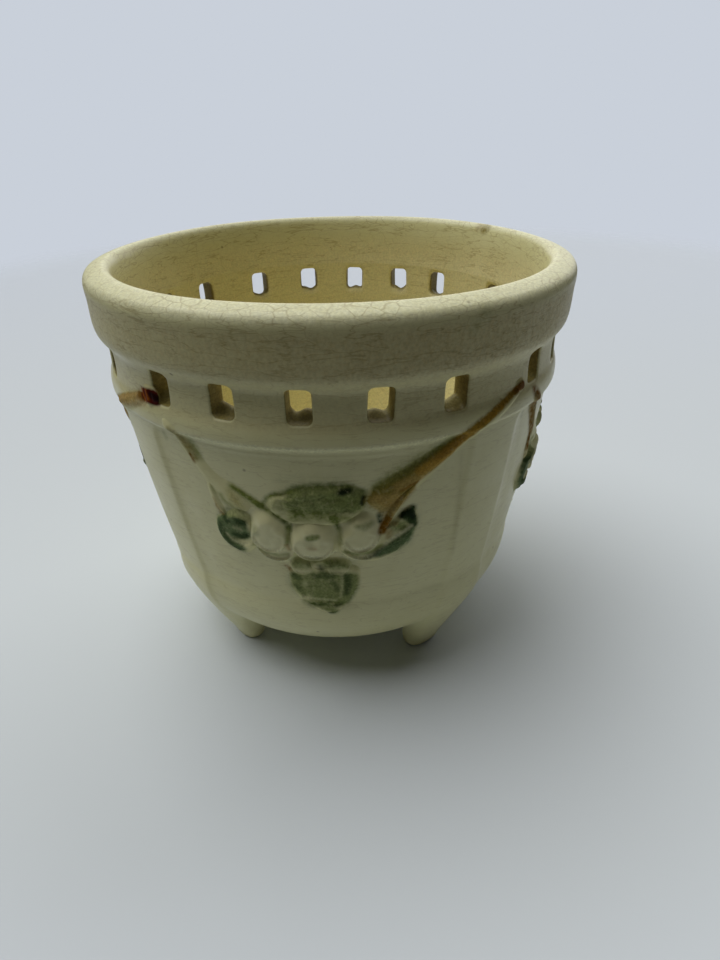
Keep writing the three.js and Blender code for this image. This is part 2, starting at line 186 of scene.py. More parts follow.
# What the decorator's brush left, as strokes laid one over another, with painted highlights and
# painted shade laid the same way. Each has a colour, a strength, the width of its soft edge, and
# points: across from the panel's middle, height, half width.
SHADE = {
    "olive": (0.2, 0.24, 0.055), "moss": (0.165, 0.2, 0.05), "green": (0.235, 0.27, 0.1),
    "grey": (0.29, 0.32, 0.13), "deep": (0.032, 0.06, 0.016), "ink": (0.01, 0.018, 0.006),
    "sea": (0.15, 0.205, 0.09), "tan": (0.39, 0.28, 0.08), "sand": (0.44, 0.37, 0.14),
    "rust": (0.21, 0.1, 0.008), "umber": (0.23, 0.18, 0.03), "blood": (0.09, 0.008, 0.003),
    "copper": (0.45, 0.27, 0.04), "black": (0.012, 0.004, 0.003), "amber": (0.4, 0.12, 0.008),
    "straw": (0.5, 0.48, 0.19), "milk": (0.66, 0.65, 0.37), "rose": (0.42, 0.31, 0.14),
    # among them a pale shade for painted highlights, the dark shades of the holes (pooled glaze with painted
    # shade), a brown for stain with painted shade, and the lip's paler painted sheen
    "highlight_cream": (0.76, 0.75, 0.47), "ochre": (0.76, 0.65, 0.37), "hole": (0.27, 0.215, 0.07),
    "sill": (0.23, 0.19, 0.05), "pool": (0.28, 0.24, 0.08), "brown_stain_and_shade": (0.5, 0.41, 0.19),
    "lip": (0.78, 0.775, 0.55),
}
STROKES = [
    # painted highlight along the sill's lower edge
    ("highlight_cream", 0.5, 0.8, [(-31, 81.1, 0.35), (31, 81.1, 0.35)]),
    # berries
    ("olive", 0.3, 3, [(-4, 66.5, 2.5), (4, 67, 3.6), (11, 66.5, 2.6)]),
    ("green", 0.92, 1.6, [(-2.2, 67.2, 2.2), (3.4, 67.8, 3.2), (9.6, 67.6, 3)]),
    ("green", 0.88, 1.4, [(-2.6, 70.2, 0.9), (3, 71, 1), (9, 70.8, 1), (12.6, 69.6, 0.7)]),
    ("moss", 0.5, 1.6, [(6, 68, 1.6), (11, 67.4, 1.6)]),
    ("moss", 0.65, 1.1, [(-3.4, 70.6, 0.5), (0.5, 71.8, 0.5), (5, 72, 0.5), (10, 71.6, 0.4)]),
    ("olive", 0.55, 1.6, [(-3.2, 62.8, 0.9), (1.5, 63.2, 0.8), (6.5, 62.8, 1), (9, 62.6, 0.5)]),
    ("moss", 0.65, 1, [(-2.4, 64.4, 0.7), (-0.8, 64.2, 0.8)]),
    ("moss", 0.6, 0.9, [(1.8, 64.3, 0.4), (2.8, 64.4, 0.4)]),
    ("grey", 0.36, 1.3, [(-8, 66, 1.2), (-6, 66.4, 1.6), (-5, 65, 1)]),
    ("olive", 0.75, 0.9, [(-10.3, 65.8, 0.2), (-9.4, 67.6, 0.3), (-7.4, 69, 0.4), (-5, 69.6, 0.35),
                          (-3.4, 70.2, 0.3)]),
    ("ink", 0.97, 0.8, [(8.1, 70.2, 0.8), (9.5, 70.6, 0.6)]),
    ("ink", 0.97, 0.6, [(12.7, 68.5, 0.3), (12.4, 67.2, 0.5), (12.3, 66.6, 0.35)]),
    # painted shadows between the roses, and their hearts
    ("olive", 0.35, 1.2, [(-17.6, 69.8, 0.7), (-11.2, 65.4, 0.9), (-7, 62.8, 0.6)]),
    ("olive", 0.85, 0.8, [(-17.3, 69.5, 0.4), (-15.2, 68.2, 0.45), (-13, 66.8, 0.5), (-11.2, 65.4, 0.65)]),
    ("moss", 0.78, 0.8, [(-11.2, 65.4, 0.35), (-8.6, 63.8, 0.2), (-6.4, 62.3, 0.4), (-4.8, 60.6, 0.6),
                         (-4.6, 59, 0.4)]),
    ("olive", 0.6, 0.9, [(-4.7, 59.6, 0.5), (-5, 57, 0.3), (-5.2, 54.6, 0.25)]),
    ("moss", 0.8, 0.8, [(5.6, 63.4, 0.6), (6.3, 61.8, 0.6), (6.7, 60, 0.35)]),
    ("olive", 0.5, 0.9, [(6.9, 59.6, 0.4), (7.1, 57, 0.3), (7, 54.8, 0.2)]),
    ("olive", 0.8, 0.7, [(0.1, 56.9, 0.6), (1.1, 57.2, 0.75), (2, 57.5, 0.45)]),
    ("rose", 0.4, 0.9, [(0.2, 53.7, 0.3), (1.3, 53.7, 0.3)]),
    ("grey", 0.6, 1, [(11, 60.2, 0.4), (12.6, 59.9, 0.8), (14.4, 60.8, 0.5)]),
    ("olive", 0.4, 1.3, [(-12.8, 58.4, 0.5), (-12.6, 56.8, 0.5)]),
    # painted shade in the grooves under the roses' rims, and painted highlights along the rims
    ("olive", 0.5, 0.7, [(-13.6, 52.6, 0.2), (-11, 51.1, 0.35), (-8, 50.6, 0.35), (-5.6, 51.2, 0.3)]),
    ("olive", 0.65, 0.7, [(7.8, 52.5, 0.3), (10.6, 51.4, 0.4), (13.6, 51.8, 0.4), (16.4, 53.6, 0.3)]),
    ("highlight_cream", 0.6, 0.6, [(-13.8, 55, 0.15), (-12, 52.9, 0.3), (-9, 52, 0.35), (-6, 52.7, 0.25)]),
    ("highlight_cream", 0.6, 0.6, [(-13, 51, 0.15), (-10.6, 49.4, 0.35), (-7.6, 48.6, 0.4), (-5.6, 48.7, 0.3),
                         (-4.6, 49.8, 0.2)]),
    ("highlight_cream", 0.6, 0.6, [(-4.2, 53, 0.2), (-2.4, 51.5, 0.35), (1, 50.9, 0.4), (4, 51.5, 0.35),
                         (5.8, 52.8, 0.2)]),
    ("highlight_cream", 0.6, 0.6, [(7.6, 54.2, 0.2), (9.6, 53.2, 0.35), (12, 53, 0.4), (14.6, 54, 0.3),
                         (16, 55.2, 0.15)]),
    ("highlight_cream", 0.65, 0.6, [(7, 51.4, 0.2), (9, 50.1, 0.35), (12, 49.9, 0.4), (15, 51.2, 0.35),
                          (17.6, 53.4, 0.25)]),
    ("rose", 0.7, 0.7, [(-5.4, 54.2, 0.2), (-5.1, 53, 0.3)]),
    # left leaf
    ("grey", 0.3, 2.4, [(-20, 58, 3), (-19.6, 54, 3)]),
    ("sea", 0.9, 1.1, [(-22.2, 58, 1.3), (-22, 54.8, 1.6), (-20.4, 52, 1.6), (-17.6, 51, 1.1)]),
    ("sea", 0.92, 1.2, [(-20.4, 58.4, 1.8), (-17.5, 58.6, 2), (-16, 56, 1.6), (-19, 55.4, 1.6)]),
    ("grey", 0.7, 1.4, [(-19.6, 61.4, 1.1), (-17, 62, 1.3), (-15, 61, 0.9)]),
    ("deep", 0.55, 1.2, [(-22.6, 57.4, 0.7), (-22.2, 54.4, 0.9), (-20.6, 51.8, 0.9), (-18, 50.4, 0.7)]),
    ("deep", 0.75, 0.9, [(-21, 59.8, 0.6), (-20.2, 58.9, 0.8)]),
    ("deep", 0.92, 0.8, [(-17, 59.4, 0.8), (-15.4, 59.5, 0.7)]),
    ("deep", 0.8, 0.8, [(-18.6, 54.9, 0.5), (-17, 54.8, 0.65), (-15.2, 55.6, 0.4)]),
    # painted highlights along the leaf's turned-up edge and folds
    ("milk", 0.55, 0.6, [(-20.8, 54.6, 0.15), (-19.4, 52.9, 0.3), (-17.2, 52.3, 0.35), (-14.4, 53.2, 0.3)]),
    ("milk", 0.35, 0.8, [(-18.4, 57.2, 0.2), (-16.6, 56.9, 0.3)]),
    # right leaf
    ("grey", 0.3, 2.4, [(23, 60, 2.4), (21, 54, 3)]),
    ("sea", 0.85, 1.1, [(23.6, 57, 1.1), (22.2, 54.6, 1.8), (19.4, 52.6, 1.7), (16, 51, 1)]),
    ("deep", 0.55, 1.2, [(23, 55.6, 0.6), (19.6, 53.4, 0.8), (16, 51.4, 0.6), (13.4, 49.9, 0.3)]),
    ("deep", 0.96, 0.9, [(24.2, 63.4, 0.7), (23, 61.6, 1.5), (24.2, 59.6, 1.1), (24.9, 58.2, 0.5)]),
    ("ink", 0.85, 0.9, [(21.4, 61.6, 0.5), (23, 62.4, 0.9), (24, 60.8, 0.6)]),
    ("grey", 0.75, 1, [(19.6, 59, 1.1), (21.4, 58.6, 1.1)]),
    ("moss", 0.5, 0.8, [(20.6, 58.9, 0.3), (21.8, 57.9, 0.5)]),
    ("deep", 0.85, 0.7, [(16.2, 62.8, 0.4), (16.4, 61, 0.45)]),
    # painted highlight along the leaf's turned-up edge
    ("highlight_cream", 0.6, 0.6, [(23.8, 58.2, 0.2), (21.4, 56.6, 0.3), (19, 55.2, 0.3), (17.4, 54, 0.2)]),
    # collar
    ("olive", 0.45, 1.4, [(-4.2, 49.4, 0.7), (-1, 49.6, 0.8), (3, 49.4, 0.8), (7.6, 49.2, 0.7)]),
    ("grey", 0.75, 1.1, [(-3.8, 47.8, 0.9), (-1.4, 47.9, 1)]),
    ("green", 0.75, 1.1, [(3.8, 48.3, 1), (6.6, 48, 1), (8.2, 47.6, 0.5)]),
    ("deep", 0.6, 0.9, [(1.8, 48, 0.3), (2.4, 46.2, 0.6), (3.2, 44.8, 0.7)]),
    # painted highlights on the leaflets' lower edges
    ("highlight_cream", 0.4, 0.6, [(-5, 46.4, 0.2), (-3, 45.7, 0.3), (-0.6, 45.9, 0.25)]),
    ("highlight_cream", 0.35, 0.6, [(4.6, 45.9, 0.2), (6.6, 45.5, 0.25), (8.6, 46.2, 0.2)]),
    # hanging leaf
    ("grey", 0.35, 2.2, [(-2, 41, 4.4), (5, 41, 5), (4, 36.5, 3.6)]),
    ("green", 0.88, 1.3, [(-4.2, 43.6, 1.3), (-4.4, 40.6, 1.2), (-3, 38.2, 0.9)]),
    ("green", 0.72, 1.6, [(0, 43.2, 2), (5, 43, 2.2), (5, 39.2, 2.4), (0.6, 39.6, 2.4)]),
    ("green", 0.92, 1.2, [(9, 43.4, 1.6), (8.9, 40, 1.5), (8.2, 37, 1.1), (7, 34.8, 0.8)]),
    ("green", 0.7, 1.2, [(1, 37, 1.6), (5, 36.8, 1.8)]),
    ("deep", 0.6, 1, [(-5, 44.4, 0.6), (-4, 43.4, 0.5)]),
    ("deep", 0.5, 0.9, [(-4.6, 40.4, 0.5), (-4, 39.6, 0.5)]),
    ("deep", 0.7, 1.1, [(8, 44.2, 0.8), (8.2, 41.4, 0.7), (7.6, 38, 0.5)]),
    ("deep", 0.5, 1.1, [(0.6, 44.4, 0.6), (4.4, 44.4, 0.7)]),
    ("deep", 0.4, 1, [(4.6, 42.4, 0.5), (5.6, 39.6, 0.5)]),
    ("moss", 0.58, 1.1, [(-2.6, 34.6, 0.8), (-0.4, 34.2, 1.1), (2.4, 34.6, 1.1), (5.6, 34.4, 1)]),
    ("deep", 0.45, 0.9, [(-1.6, 34, 0.5), (0.4, 34, 0.5), (3, 34.4, 0.4)]),
    ("ink", 0.5, 1, [(5, 33.8, 0.6), (6, 34.2, 0.5)]),
    ("green", 0.75, 0.9, [(1.6, 32.8, 0.4), (3.6, 32.4, 0.6), (4.6, 31.8, 0.7)]),
    ("deep", 0.65, 0.7, [(3.2, 31.1, 0.25), (4.6, 31.2, 0.3)]),
    # painted highlights along the hanging leaf's folds
    ("milk", 0.45, 0.6, [(-4.6, 37, 0.2), (-1.6, 36.2, 0.25), (2.6, 35.9, 0.25), (5, 35.6, 0.2)]),
    ("milk", 0.35, 0.5, [(6.9, 45, 0.15), (6.7, 41, 0.2), (6.2, 37, 0.2)]),
    ("rose", 0.85, 0.7, [(-6.8, 47, 0.25), (-6, 46.4, 0.35), (-5.8, 45.8, 0.25)]),
    # right cord, from its end under the hole down to the flowers
    ("umber", 0.75, 0.9, [(54, 88, 0.4), (50.5, 86.9, 0.6), (46, 85, 0.8), (40, 82.2, 0.9)]),
    ("copper", 0.8, 0.7, [(52, 87.5, 0.4), (46, 84.8, 0.6), (41, 82.4, 0.6)]),
    ("rust", 0.85, 0.8, [(51.8, 86.9, 0.7), (54.2, 87.8, 1.2)]),
    ("blood", 0.35, 0.6, [(53.2, 87.6, 0.6), (54.6, 88, 0.8)]),
    ("umber", 0.85, 1.2, [(40, 82.2, 0.9), (34, 79, 1.3), (28, 75.6, 1.7), (22, 72.4, 1.9), (17, 69.6, 1.9),
                          (14.4, 67.4, 1.2)]),
    ("olive", 0.5, 1.6, [(33, 80.2, 0.6), (26, 76.8, 1), (19.6, 73.4, 1), (15.6, 71.2, 0.8)]),
    ("tan", 0.9, 1.1, [(15.8, 67, 1.6), (18.4, 65.6, 2.4), (21, 67.4, 1.8), (23.4, 69, 1)]),
    ("tan", 0.85, 0.9, [(33.6, 76.8, 0.3), (28.6, 73.9, 0.7), (25, 72, 1), (20.6, 70.2, 1.2)]),
    ("copper", 0.8, 1, [(46, 84.9, 0.4), (40, 82, 0.6), (33.4, 78.2, 1.2), (29.6, 75.8, 1.3),
                        (25.4, 73.6, 1)]),
    ("rust", 0.5, 0.9, [(36, 79.8, 0.4), (32.4, 77.6, 0.8), (29.6, 75.9, 0.5)]),
    ("sand", 0.6, 0.9, [(15, 65.6, 0.6), (17, 64.2, 0.6), (19.6, 63.8, 0.5)]),
    ("umber", 0.85, 0.7, [(24.6, 70.4, 0.2), (22.8, 69, 0.8), (22.3, 67.8, 0.6), (21.2, 68.6, 0.5)]),
    ("rust", 0.7, 0.5, [(25, 70.7, 0.2), (23.4, 70.1, 0.35), (21, 69, 0.25)]),
    ("rust", 0.6, 0.3, [(16, 66.9, 0.12)] * 2),
    ("tan", 0.8, 0.8, [(18.6, 63, 0.8), (18.4, 61.6, 0.8)]),
    ("rust", 0.88, 0.8, [(18.2, 61.6, 0.5), (17.4, 59.6, 0.9), (16.6, 57.8, 0.7)]),
    ("rust", 0.5, 1, [(18.4, 57.4, 0.5), (18, 56, 0.4)]),
    ("sand", 0.7, 0.7, [(19, 59.9, 0.5), (19.8, 59.5, 0.4)]),
    # left cord
    ("umber", 0.6, 1, [(-31.4, 81.6, 0.1), (-29.4, 80, 0.7), (-27.6, 77.6, 1.1), (-26.6, 75.4, 0.8)]),
    ("olive", 0.5, 1.3, [(-26.8, 80, 0.3), (-25.6, 77.6, 0.6), (-25, 75.8, 0.4)]),
    ("rust", 0.6, 0.7, [(-27.6, 75.8, 0.4), (-27.2, 74.2, 0.4)]),
    ("olive", 0.3, 0.9, [(-35.8, 79.4, 0.3), (-35.6, 78, 0.2)]),
    ("straw", 0.55, 1.2, [(-18, 67.6, 0.9), (-17, 65.6, 1.5), (-15.6, 64.2, 0.8)]),
    ("tan", 0.2, 1, [(-17.4, 67, 0.5), (-16.6, 65, 0.5)]),
    ("olive", 0.45, 1.2, [(-20.8, 66.2, 0.6), (-20.4, 64.6, 0.7), (-19, 63.8, 0.5)]),
    ("olive", 0.3, 1, [(-23.2, 68, 0.3), (-22.6, 66.8, 0.3)]),
    ("tan", 0.5, 0.8, [(-23.4, 64.6, 0.2), (-22.8, 62.6, 0.5), (-21.8, 60.8, 0.5)]),
    ("rust", 0.3, 0.6, [(-23.3, 62.6, 0.3), (-22.6, 61, 0.4)]),
    # wash of colour that ran under the glaze round the painted forms
    ("straw", 0.22, 3, [(18, 74, 1), (27, 78.4, 1)]),
    ("grey", 0.16, 2.5, [(-5, 73, 1), (8, 73.6, 1)]),
    ("olive", 0.3, 2, [(9.4, 48.4, 0.3), (10.4, 47, 0.3)]),
    ("umber", 0.16, 1.2, [(36.4, 76, 0.1), (36.6, 60, 0.2), (36.2, 44, 0.1)]),
]
# the fourth panel's knot and ribbon, and the brown of the second panel's left cord, are stronger
MORE_STROKES = {
    3: [("rose", 0.62, 1, [(42, 82.6, 1.4), (47.5, 84.8, 1.7), (53, 87, 2)]),
        ("tan", 0.4, 1, [(44, 83, 0.6), (50, 85.4, 0.8)]),
        ("rust", 0.85, 0.8, [(52.4, 87.5, 0.8), (55, 88, 1.5)]),
        ("blood", 0.97, 0.8, [(54.8, 88.2, 1.6), (58.8, 88.4, 1.8)]),
        ("amber", 0.9, 0.6, [(54.6, 89, 0.4), (55.2, 86.9, 0.5)]),
        ("amber", 0.7, 0.6, [(56.5, 89.2, 0.2), (57, 87.2, 0.3)]),
        ("black", 0.9, 0.7, [(57.8, 89.2, 0.8), (59.6, 88.6, 0.8)])],
    1: [("rust", 0.75, 1.1, [(-34, 85, 0.8), (-31, 80.8, 1.2), (-27.4, 75.4, 1.2), (-24.4, 70.6, 1),
                             (-23.4, 65, 0.8)]),
        ("umber", 0.6, 1.2, [(-29.4, 80, 0.9), (-25, 74, 1)])],
}
# spots of iron stain and glaze on the rim: where, how wide, their colour and strength
SPOTS = [((43.8, 36.8, 110.1), 3, "umber", 0.95), ((42, 38.8, 110.2), 2.2, "rust", 0.5),
         ((36.6, -51.2, 107.4), 2.6, "grey", 0.45), ((34.8, -52.8, 105.4), 2.4, "green", 0.4)]


def beside(u, v, start, end):
    """Share of the way along a straight stretch, and distance from it, of each point."""
    du, dv = end[0] - start[0], end[1] - start[1]
    share = np.clip(((u - start[0]) * du + (v - start[1]) * dv) / max(du ** 2 + dv ** 2, 1e-9), 0, 1)
    return share, np.hypot(u - start[0] - share * du, v - start[1] - share * dv)


def shaded(colour, shade, share):
    """Colours moved by a share towards one of the shades."""
    return colour + (np.array(SHADE[shade]) - colour) * share[:, None]


def brushed(across, z, seed):
    """Colour and cover of the paint at each point of a panel."""
    wander = np.random.default_rng(seed)
    colour = np.zeros((len(across), 3)) + SHADE["milk"]
    cover = np.zeros(len(across))
    for shade, strength, edge, points in STROKES + MORE_STROKES.get(seed, []):
        shift = wander.normal(0, 0.22, 2) if seed else (0, 0)
        points = [(u + shift[0], v + shift[1], half) for u, v, half in points]
        reach = max(half for _, _, half in points) + edge
        near = ((across > min(p[0] for p in points) - reach) & (across < max(p[0] for p in points) + reach)
                & (z > min(p[1] for p in points) - reach) & (z < max(p[1] for p in points) + reach))
        if not near.any():
            continue
        u, v = across[near], z[near]
        gap = np.full(len(u), 1e9)
        for start, end in zip(points, points[1:]):
            share, away = beside(u, v, start, end)
            gap = np.minimum(gap, away - start[2] - share * (end[2] - start[2]))
        mask = strength * (1 - soft(-edge * 0.5, edge, gap))
        under = cover[near]
        total = mask + under * (1 - mask)
        colour[near] = shaded(colour[near], shade, np.where(total > 1e-6, mask / np.maximum(total, 1e-6), 0))
        cover[near] = total
    return colour, cover


def laid_over(tint, shade, cover):
    """Lays a colour over the tints, as strongly as its cover says at each corner: a stain, and also the
    lip's painted sheen.
    """
    tint[:, :3] = shaded(tint[:, :3], shade, cover / np.maximum(cover + tint[:, 3], 1e-6))
    tint[:, 3] = np.maximum(tint[:, 3], cover)


def paint(piece):
    """Stores the paint on the outside of a piece, which the glaze shows through its surface."""
    corners = corners_of(piece)
    angle, radius = around(corners)
    z = corners[:, 2]
    depth = skin(angle, z) - radius
    tint = np.zeros((len(z), 4))
    # inside, the glaze is thicker and stained ochre
    tint[:, :3] = SHADE["milk"]
    tint[:, :3] = shaded(tint[:, :3], "ochre", soft(3, 5, depth))
    tint[:, 3] = 0.42 * soft(4.6, 5.4, depth) * (z > 12) * soft(109, 99, z)
    # in the holes the glaze is pooled and darker, with painted shade, most of all low down, but less so on
    # the pool that stands further in
    between = (z > HOLES_FROM) & (z < HOLES_TO)
    in_hole = soft(0.05, 0.5, depth) * (1 - soft(4.9, 5.3, depth)) * between
    low = soft(89.2, 87, z)
    hole_glaze_and_shade = shaded(np.array(SHADE["hole"]), "sill", low)
    hole_glaze_and_shade = shaded(hole_glaze_and_shade, "pool", soft(1.8, 3.2, depth) * low)
    tint[:, :3] += (hole_glaze_and_shade - tint[:, :3]) * in_hole[:, None]
    tint[:, 3] = np.maximum(tint[:, 3], 1.4 * in_hole)
    # the strokes lie on the outer skin, as they are seen from a little above the raised forms
    outside = depth < 2.6
    for panel in range(-2, 3):
        local = angle - panel * math.pi / 2
        near = outside & (local > -0.8) & (local < 1.12)
        ground = panel_ground(z[near])
        height = radius[near] - ground
        seen_z = z[near] - (height - 1.2) * 0.58
        colour, cover = brushed(local[near] * ground, seen_z, panel % 4)
        more = cover > tint[near, 3]
        rows = np.flatnonzero(near)[more]
        tint[rows, :3] = colour[more]
        tint[rows, 3] = 1.15 * cover[more]
    # the rim's wall and the band are stained brown along their crazing and darkened as painted shade, more
    # so on the right
    more_right = 1 + 0.35 * soft(-0.5, 0.5, angle) * soft(2.2, 1.4, angle)
    brown_stain_and_shade = 0.42 * soft(95, 98.5, z) * soft(108.6, 105, z) + 0.22 * soft(84, 86, z) * soft(98.5, 95, z)
    brown_stain_and_shade = brown_stain_and_shade * more_right * outside * (tint[:, 3] < 0.05)
    tint[brown_stain_and_shade > 0, :3] = SHADE["brown_stain_and_shade"]
    tint[:, 3] = np.maximum(tint[:, 3], brown_stain_and_shade)
    # the lip is given a paler painted sheen, and has a few stains
    laid_over(tint, "lip", 0.5 * soft(106.5, 109.5, z) * (1 - soft(3.4, 6.5, depth)))
    for middle, width, shade, strength in SPOTS:
        away = np.linalg.norm(corners - middle, axis=1)
        laid_over(tint, shade, strength * (1 - soft(width * 0.2, width, away)))
    layer = piece.data.attributes.new("paint", "FLOAT_COLOR", "POINT")
    layer.data.foreach_set("color", tint.ravel())
    # how upright the surface stands: the crazing's level lines keep to the walls
    normals = np.empty(len(z) * 3)
    piece.data.vertices.foreach_get("normal", normals)
    upright = piece.data.attributes.new("upright", "FLOAT", "POINT")
    upright.data.foreach_set("value", 1 - np.abs(normals[2::3]))


def node_kit(tree):
    """Short ways to add nodes to a material or the world. They take numbers or other sockets."""
    def put(socket, value):
        if isinstance(value, bpy.types.NodeSocket):
            tree.links.new(value, socket)
        elif socket.type == "RGBA":
            socket.default_value = (*value, 1)
        else:
            socket.default_value = value

    def add(kind, **sockets):
        node = tree.nodes.new("ShaderNode" + kind)
        for key, value in sockets.items():
            put(node.inputs[key.replace("_", " ")], value)
        return node

    def ranged(value, low, high, new_low=0, new_high=1):
        node = add("MapRange", Value=value)
        for socket, number in zip(node.inputs[1:5], (low, high, new_low, new_high)):
            put(socket, number)
        return node.outputs["Result"]

    def maths(operation, *values):
        node = add("Math")
        node.operation = operation
        for socket, value in zip(node.inputs, values):
            put(socket, value)
        return node.outputs[0]

    def mixed(share, first, second, kind="MIX"):
        node = add("Mix")
        node.data_type = "RGBA"
        node.blend_type = kind
        for index, value in ((0, share), (6, first), (7, second)):
            put(node.inputs[index], value)
        return node.outputs[2]

    return put, add, ranged, maths, mixed


def glaze(name, mottle=0.35, roughness=0.34, craze=1.0, shine=0.28):
    """Ivory glaze over the paint: crazed, faintly speckled and never quite even. Where the paint
    lies thick it is drier and shines less."""
    material = bpy.data.materials.new(name)
    material.use_nodes = True
    put, add, ranged, maths, mixed = node_kit(material.node_tree)
    shader = material.node_tree.nodes["Principled BSDF"]
    place = add("TexCoord").outputs["Object"]

    def noise(scale, detail=3, vector=place):
        return add("TexNoise", Vector=vector, Scale=scale, Detail=detail).outputs["Fac"]

    def stored(layer):
        node = add("Attribute")
        node.attribute_name = layer
        return node.outputs

    # glaze colour, thicker and yellower in patches
    body = mixed(ranged(noise(38, 2), 0.35, 0.68), (0.735, 0.71, 0.395), (0.68, 0.65, 0.34))
    body = mixed(ranged(noise(240, 4), 0.3, 0.7, 0, 0.35), body, (0.76, 0.745, 0.44))

    # paint under it, broken up as a brush leaves it
    coat = stored("paint")
    grain = ranged(noise(900, 4), 0.32, 0.68, 1 - mottle, 1 + mottle)
    cover = maths("MINIMUM", maths("MULTIPLY", coat["Alpha"], grain), 1.0)
    flecks = ranged(noise(1700, 2), 0.35, 0.65, 0.82, 1.18)
    body = mixed(cover, body, mixed(1.0, coat["Color"], flecks, "MULTIPLY"))

    # crazing: a net that is strong on the lip and faint low down, and level lines on the walls
    wave = add("TexNoise", Vector=place, Scale=170.0, Detail=2.0).outputs["Color"]
    shift = add("VectorMath", Vector=wave)
    shift.operation = "SCALE"
    put(shift.inputs["Scale"], 0.0011)
    bent = add("VectorMath", Vector=place)
    bent.operation = "ADD"
    put(bent.inputs[1], shift.outputs[0])
    stretch = add("Mapping", Vector=bent.outputs[0], Scale=(1, 1, 3))
    height = add("SeparateXYZ", Vector=place).outputs["Z"]
    full_on_lip = ranged(height, 0.106, 0.1095, 0.55, 1)
    faint_low_down = ranged(height, 0.082, 0.108, 0.4, 1)
    cracks = []
    for scale, width, strength in ((270, 0.06, 0.7 * craze), (640, 0.07, 0.2 * craze)):
        cell = add("TexVoronoi", Vector=stretch.outputs[0], Scale=scale)
        cell.feature = "DISTANCE_TO_EDGE"
        line = ranged(cell.outputs["Distance"], 0, width, strength, 0)
        cracks.append(maths("MULTIPLY", line, ranged(noise(75 + scale / 10, 2), 0.35, 0.62, 0.3, 1)))
    net = maths("MULTIPLY", maths("MAXIMUM", *cracks), full_on_lip)
    level = add("Mapping", Vector=bent.outputs[0], Scale=(0.14, 0.14, 1))
    contour = maths("ABSOLUTE", maths("SUBTRACT", noise(460, 3, level.outputs[0]), 0.5))
    on_walls = ranged(stored("upright")["Fac"], 0.25, 0.65, 0, 0.75 * craze)
    streak = maths("MULTIPLY", ranged(contour, 0, 0.02, 1, 0), on_walls)
    crazing = maths("MULTIPLY", maths("MAXIMUM", net, streak), faint_low_down)
    body = mixed(crazing, body, mixed(1.0, body, (0.6, 0.53, 0.42), "MULTIPLY"))

    # iron specks
    speck = add("TexVoronoi", Vector=place, Scale=150.0)
    dot = ranged(speck.outputs["Distance"], 0.04, 0.09, 1, 0)
    chosen = add("SeparateColor", Color=speck.outputs["Color"]).outputs[0]
    specks = maths("MULTIPLY", dot, ranged(chosen, 0.86, 0.87, 0, 0.6))
    put(shader.inputs["Base Color"], mixed(specks, body, (0.13, 0.09, 0.04)))

    gloss = ranged(noise(110, 3), 0.3, 0.7, roughness - 0.05, roughness + 0.07)
    put(shader.inputs["Roughness"], maths("ADD", gloss, maths("MULTIPLY", cover, 0.3)))
    for socket, number in (("IOR", 1.5), ("Specular IOR Level", shine), ("Coat Weight", 0.28 * shine),
                           ("Coat Roughness", 0.16)):
        put(shader.inputs[socket], number)

    # hand-made unevenness, orange peel, and the fine grooves of the crazing
    ripple = add("Bump", Height=noise(95, 2), Strength=0.22, Distance=0.0014)
    peel = add("Bump", Height=noise(520, 3), Strength=0.1, Distance=0.0004, Normal=ripple.outputs[0])
    groove = add("Bump", Height=crazing, Strength=0.12, Distance=0.0003, Normal=peel.outputs[0])
    groove.invert = True
    put(shader.inputs["Normal"], groove.outputs[0])
    return material


ivory_glaze = glaze("ivory_glaze")


def fitted(piece, material, slot, *nodes):
    """Paints and glazes a piece, hangs it under the root, and hides the model's parts it stands for."""
    paint(piece)
    piece.data.materials.append(material)
    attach(piece, "root")
    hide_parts(*nodes)
    return piece


base_round = [base_point(climb) for climb in np.radians(np.arange(0, 90, 3))]
face = [(float(panel_ground(np.array(z))), z) for z in (32.4, *np.arange(32.8, 78.5, 0.8))]
shoulder = [(r, z) for r, z in UPPER_OUTSIDE if UPPER_Z[0] < z < BOWL_TOP - 0.05]
inside = flowing([(54.7, BOWL_TOP), (54.4, 79.6), (53.4, 73.4), (51.6, 62), (49.8, 51), (48.2, 41),
                  (46.8, 33), (45.4, 26.5), (41.7, 21.2), (35.9, 17.2), (30.6, 15.4), (25, 14.7),
                  (12, 14.7), (0, 14.7)], 3)
under = [(0, 8.9), (8, 8.9), (16, 8.8), (22, 8.72)]
outline = [*under, *base_round, *face, *shoulder, (61.1, BOWL_TOP), *inside]
bowl = smooth_piece("glazed_bowl", turned(outline, BOWL_STEPS, False))
corners = corners_of(bowl)
angle, radius = around(corners)
outer = radius > panel_ground(corners[:, 2]) - 2.5
proud = np.where(outer & (corners[:, 2] > PILASTER_FROM), pilaster_rise(angle, corners[:, 2]), 0)
corners[:, :2] *= (1 + proud / np.maximum(radius, 1))[:, None]
move_corners(bowl, corners)
bowl.data.set_sharp_from_angle(angle=JOINT_ANGLE)
fitted(bowl, ivory_glaze, "ivory_glaze", "bowl", "pilaster_1", "pilaster_2", "pilaster_3", "pilaster_4")

# Sill moulding: the soft roll that closes the panels at the top and carries the pierced band.
# It is part of the same casting, and the mould leaves its lower edge as a fine raised line.
SILL_TOP = 85.6
sill_outside = [(r, z) for r, z in UPPER_OUTSIDE if BOWL_TOP - 0.005 <= z <= SILL_TOP + 0.005]
sill_inside = [(54.65, SILL_TOP), (54.7, 84), (54.7, BOWL_TOP)]
sill = smooth_piece("glazed_sill_moulding", turned(sill_outside + sill_inside, 360, True))
sill.data.set_sharp_from_angle(angle=JOINT_ANGLE)
fitted(sill, ivory_glaze, "ivory_glaze", "sill_moulding")

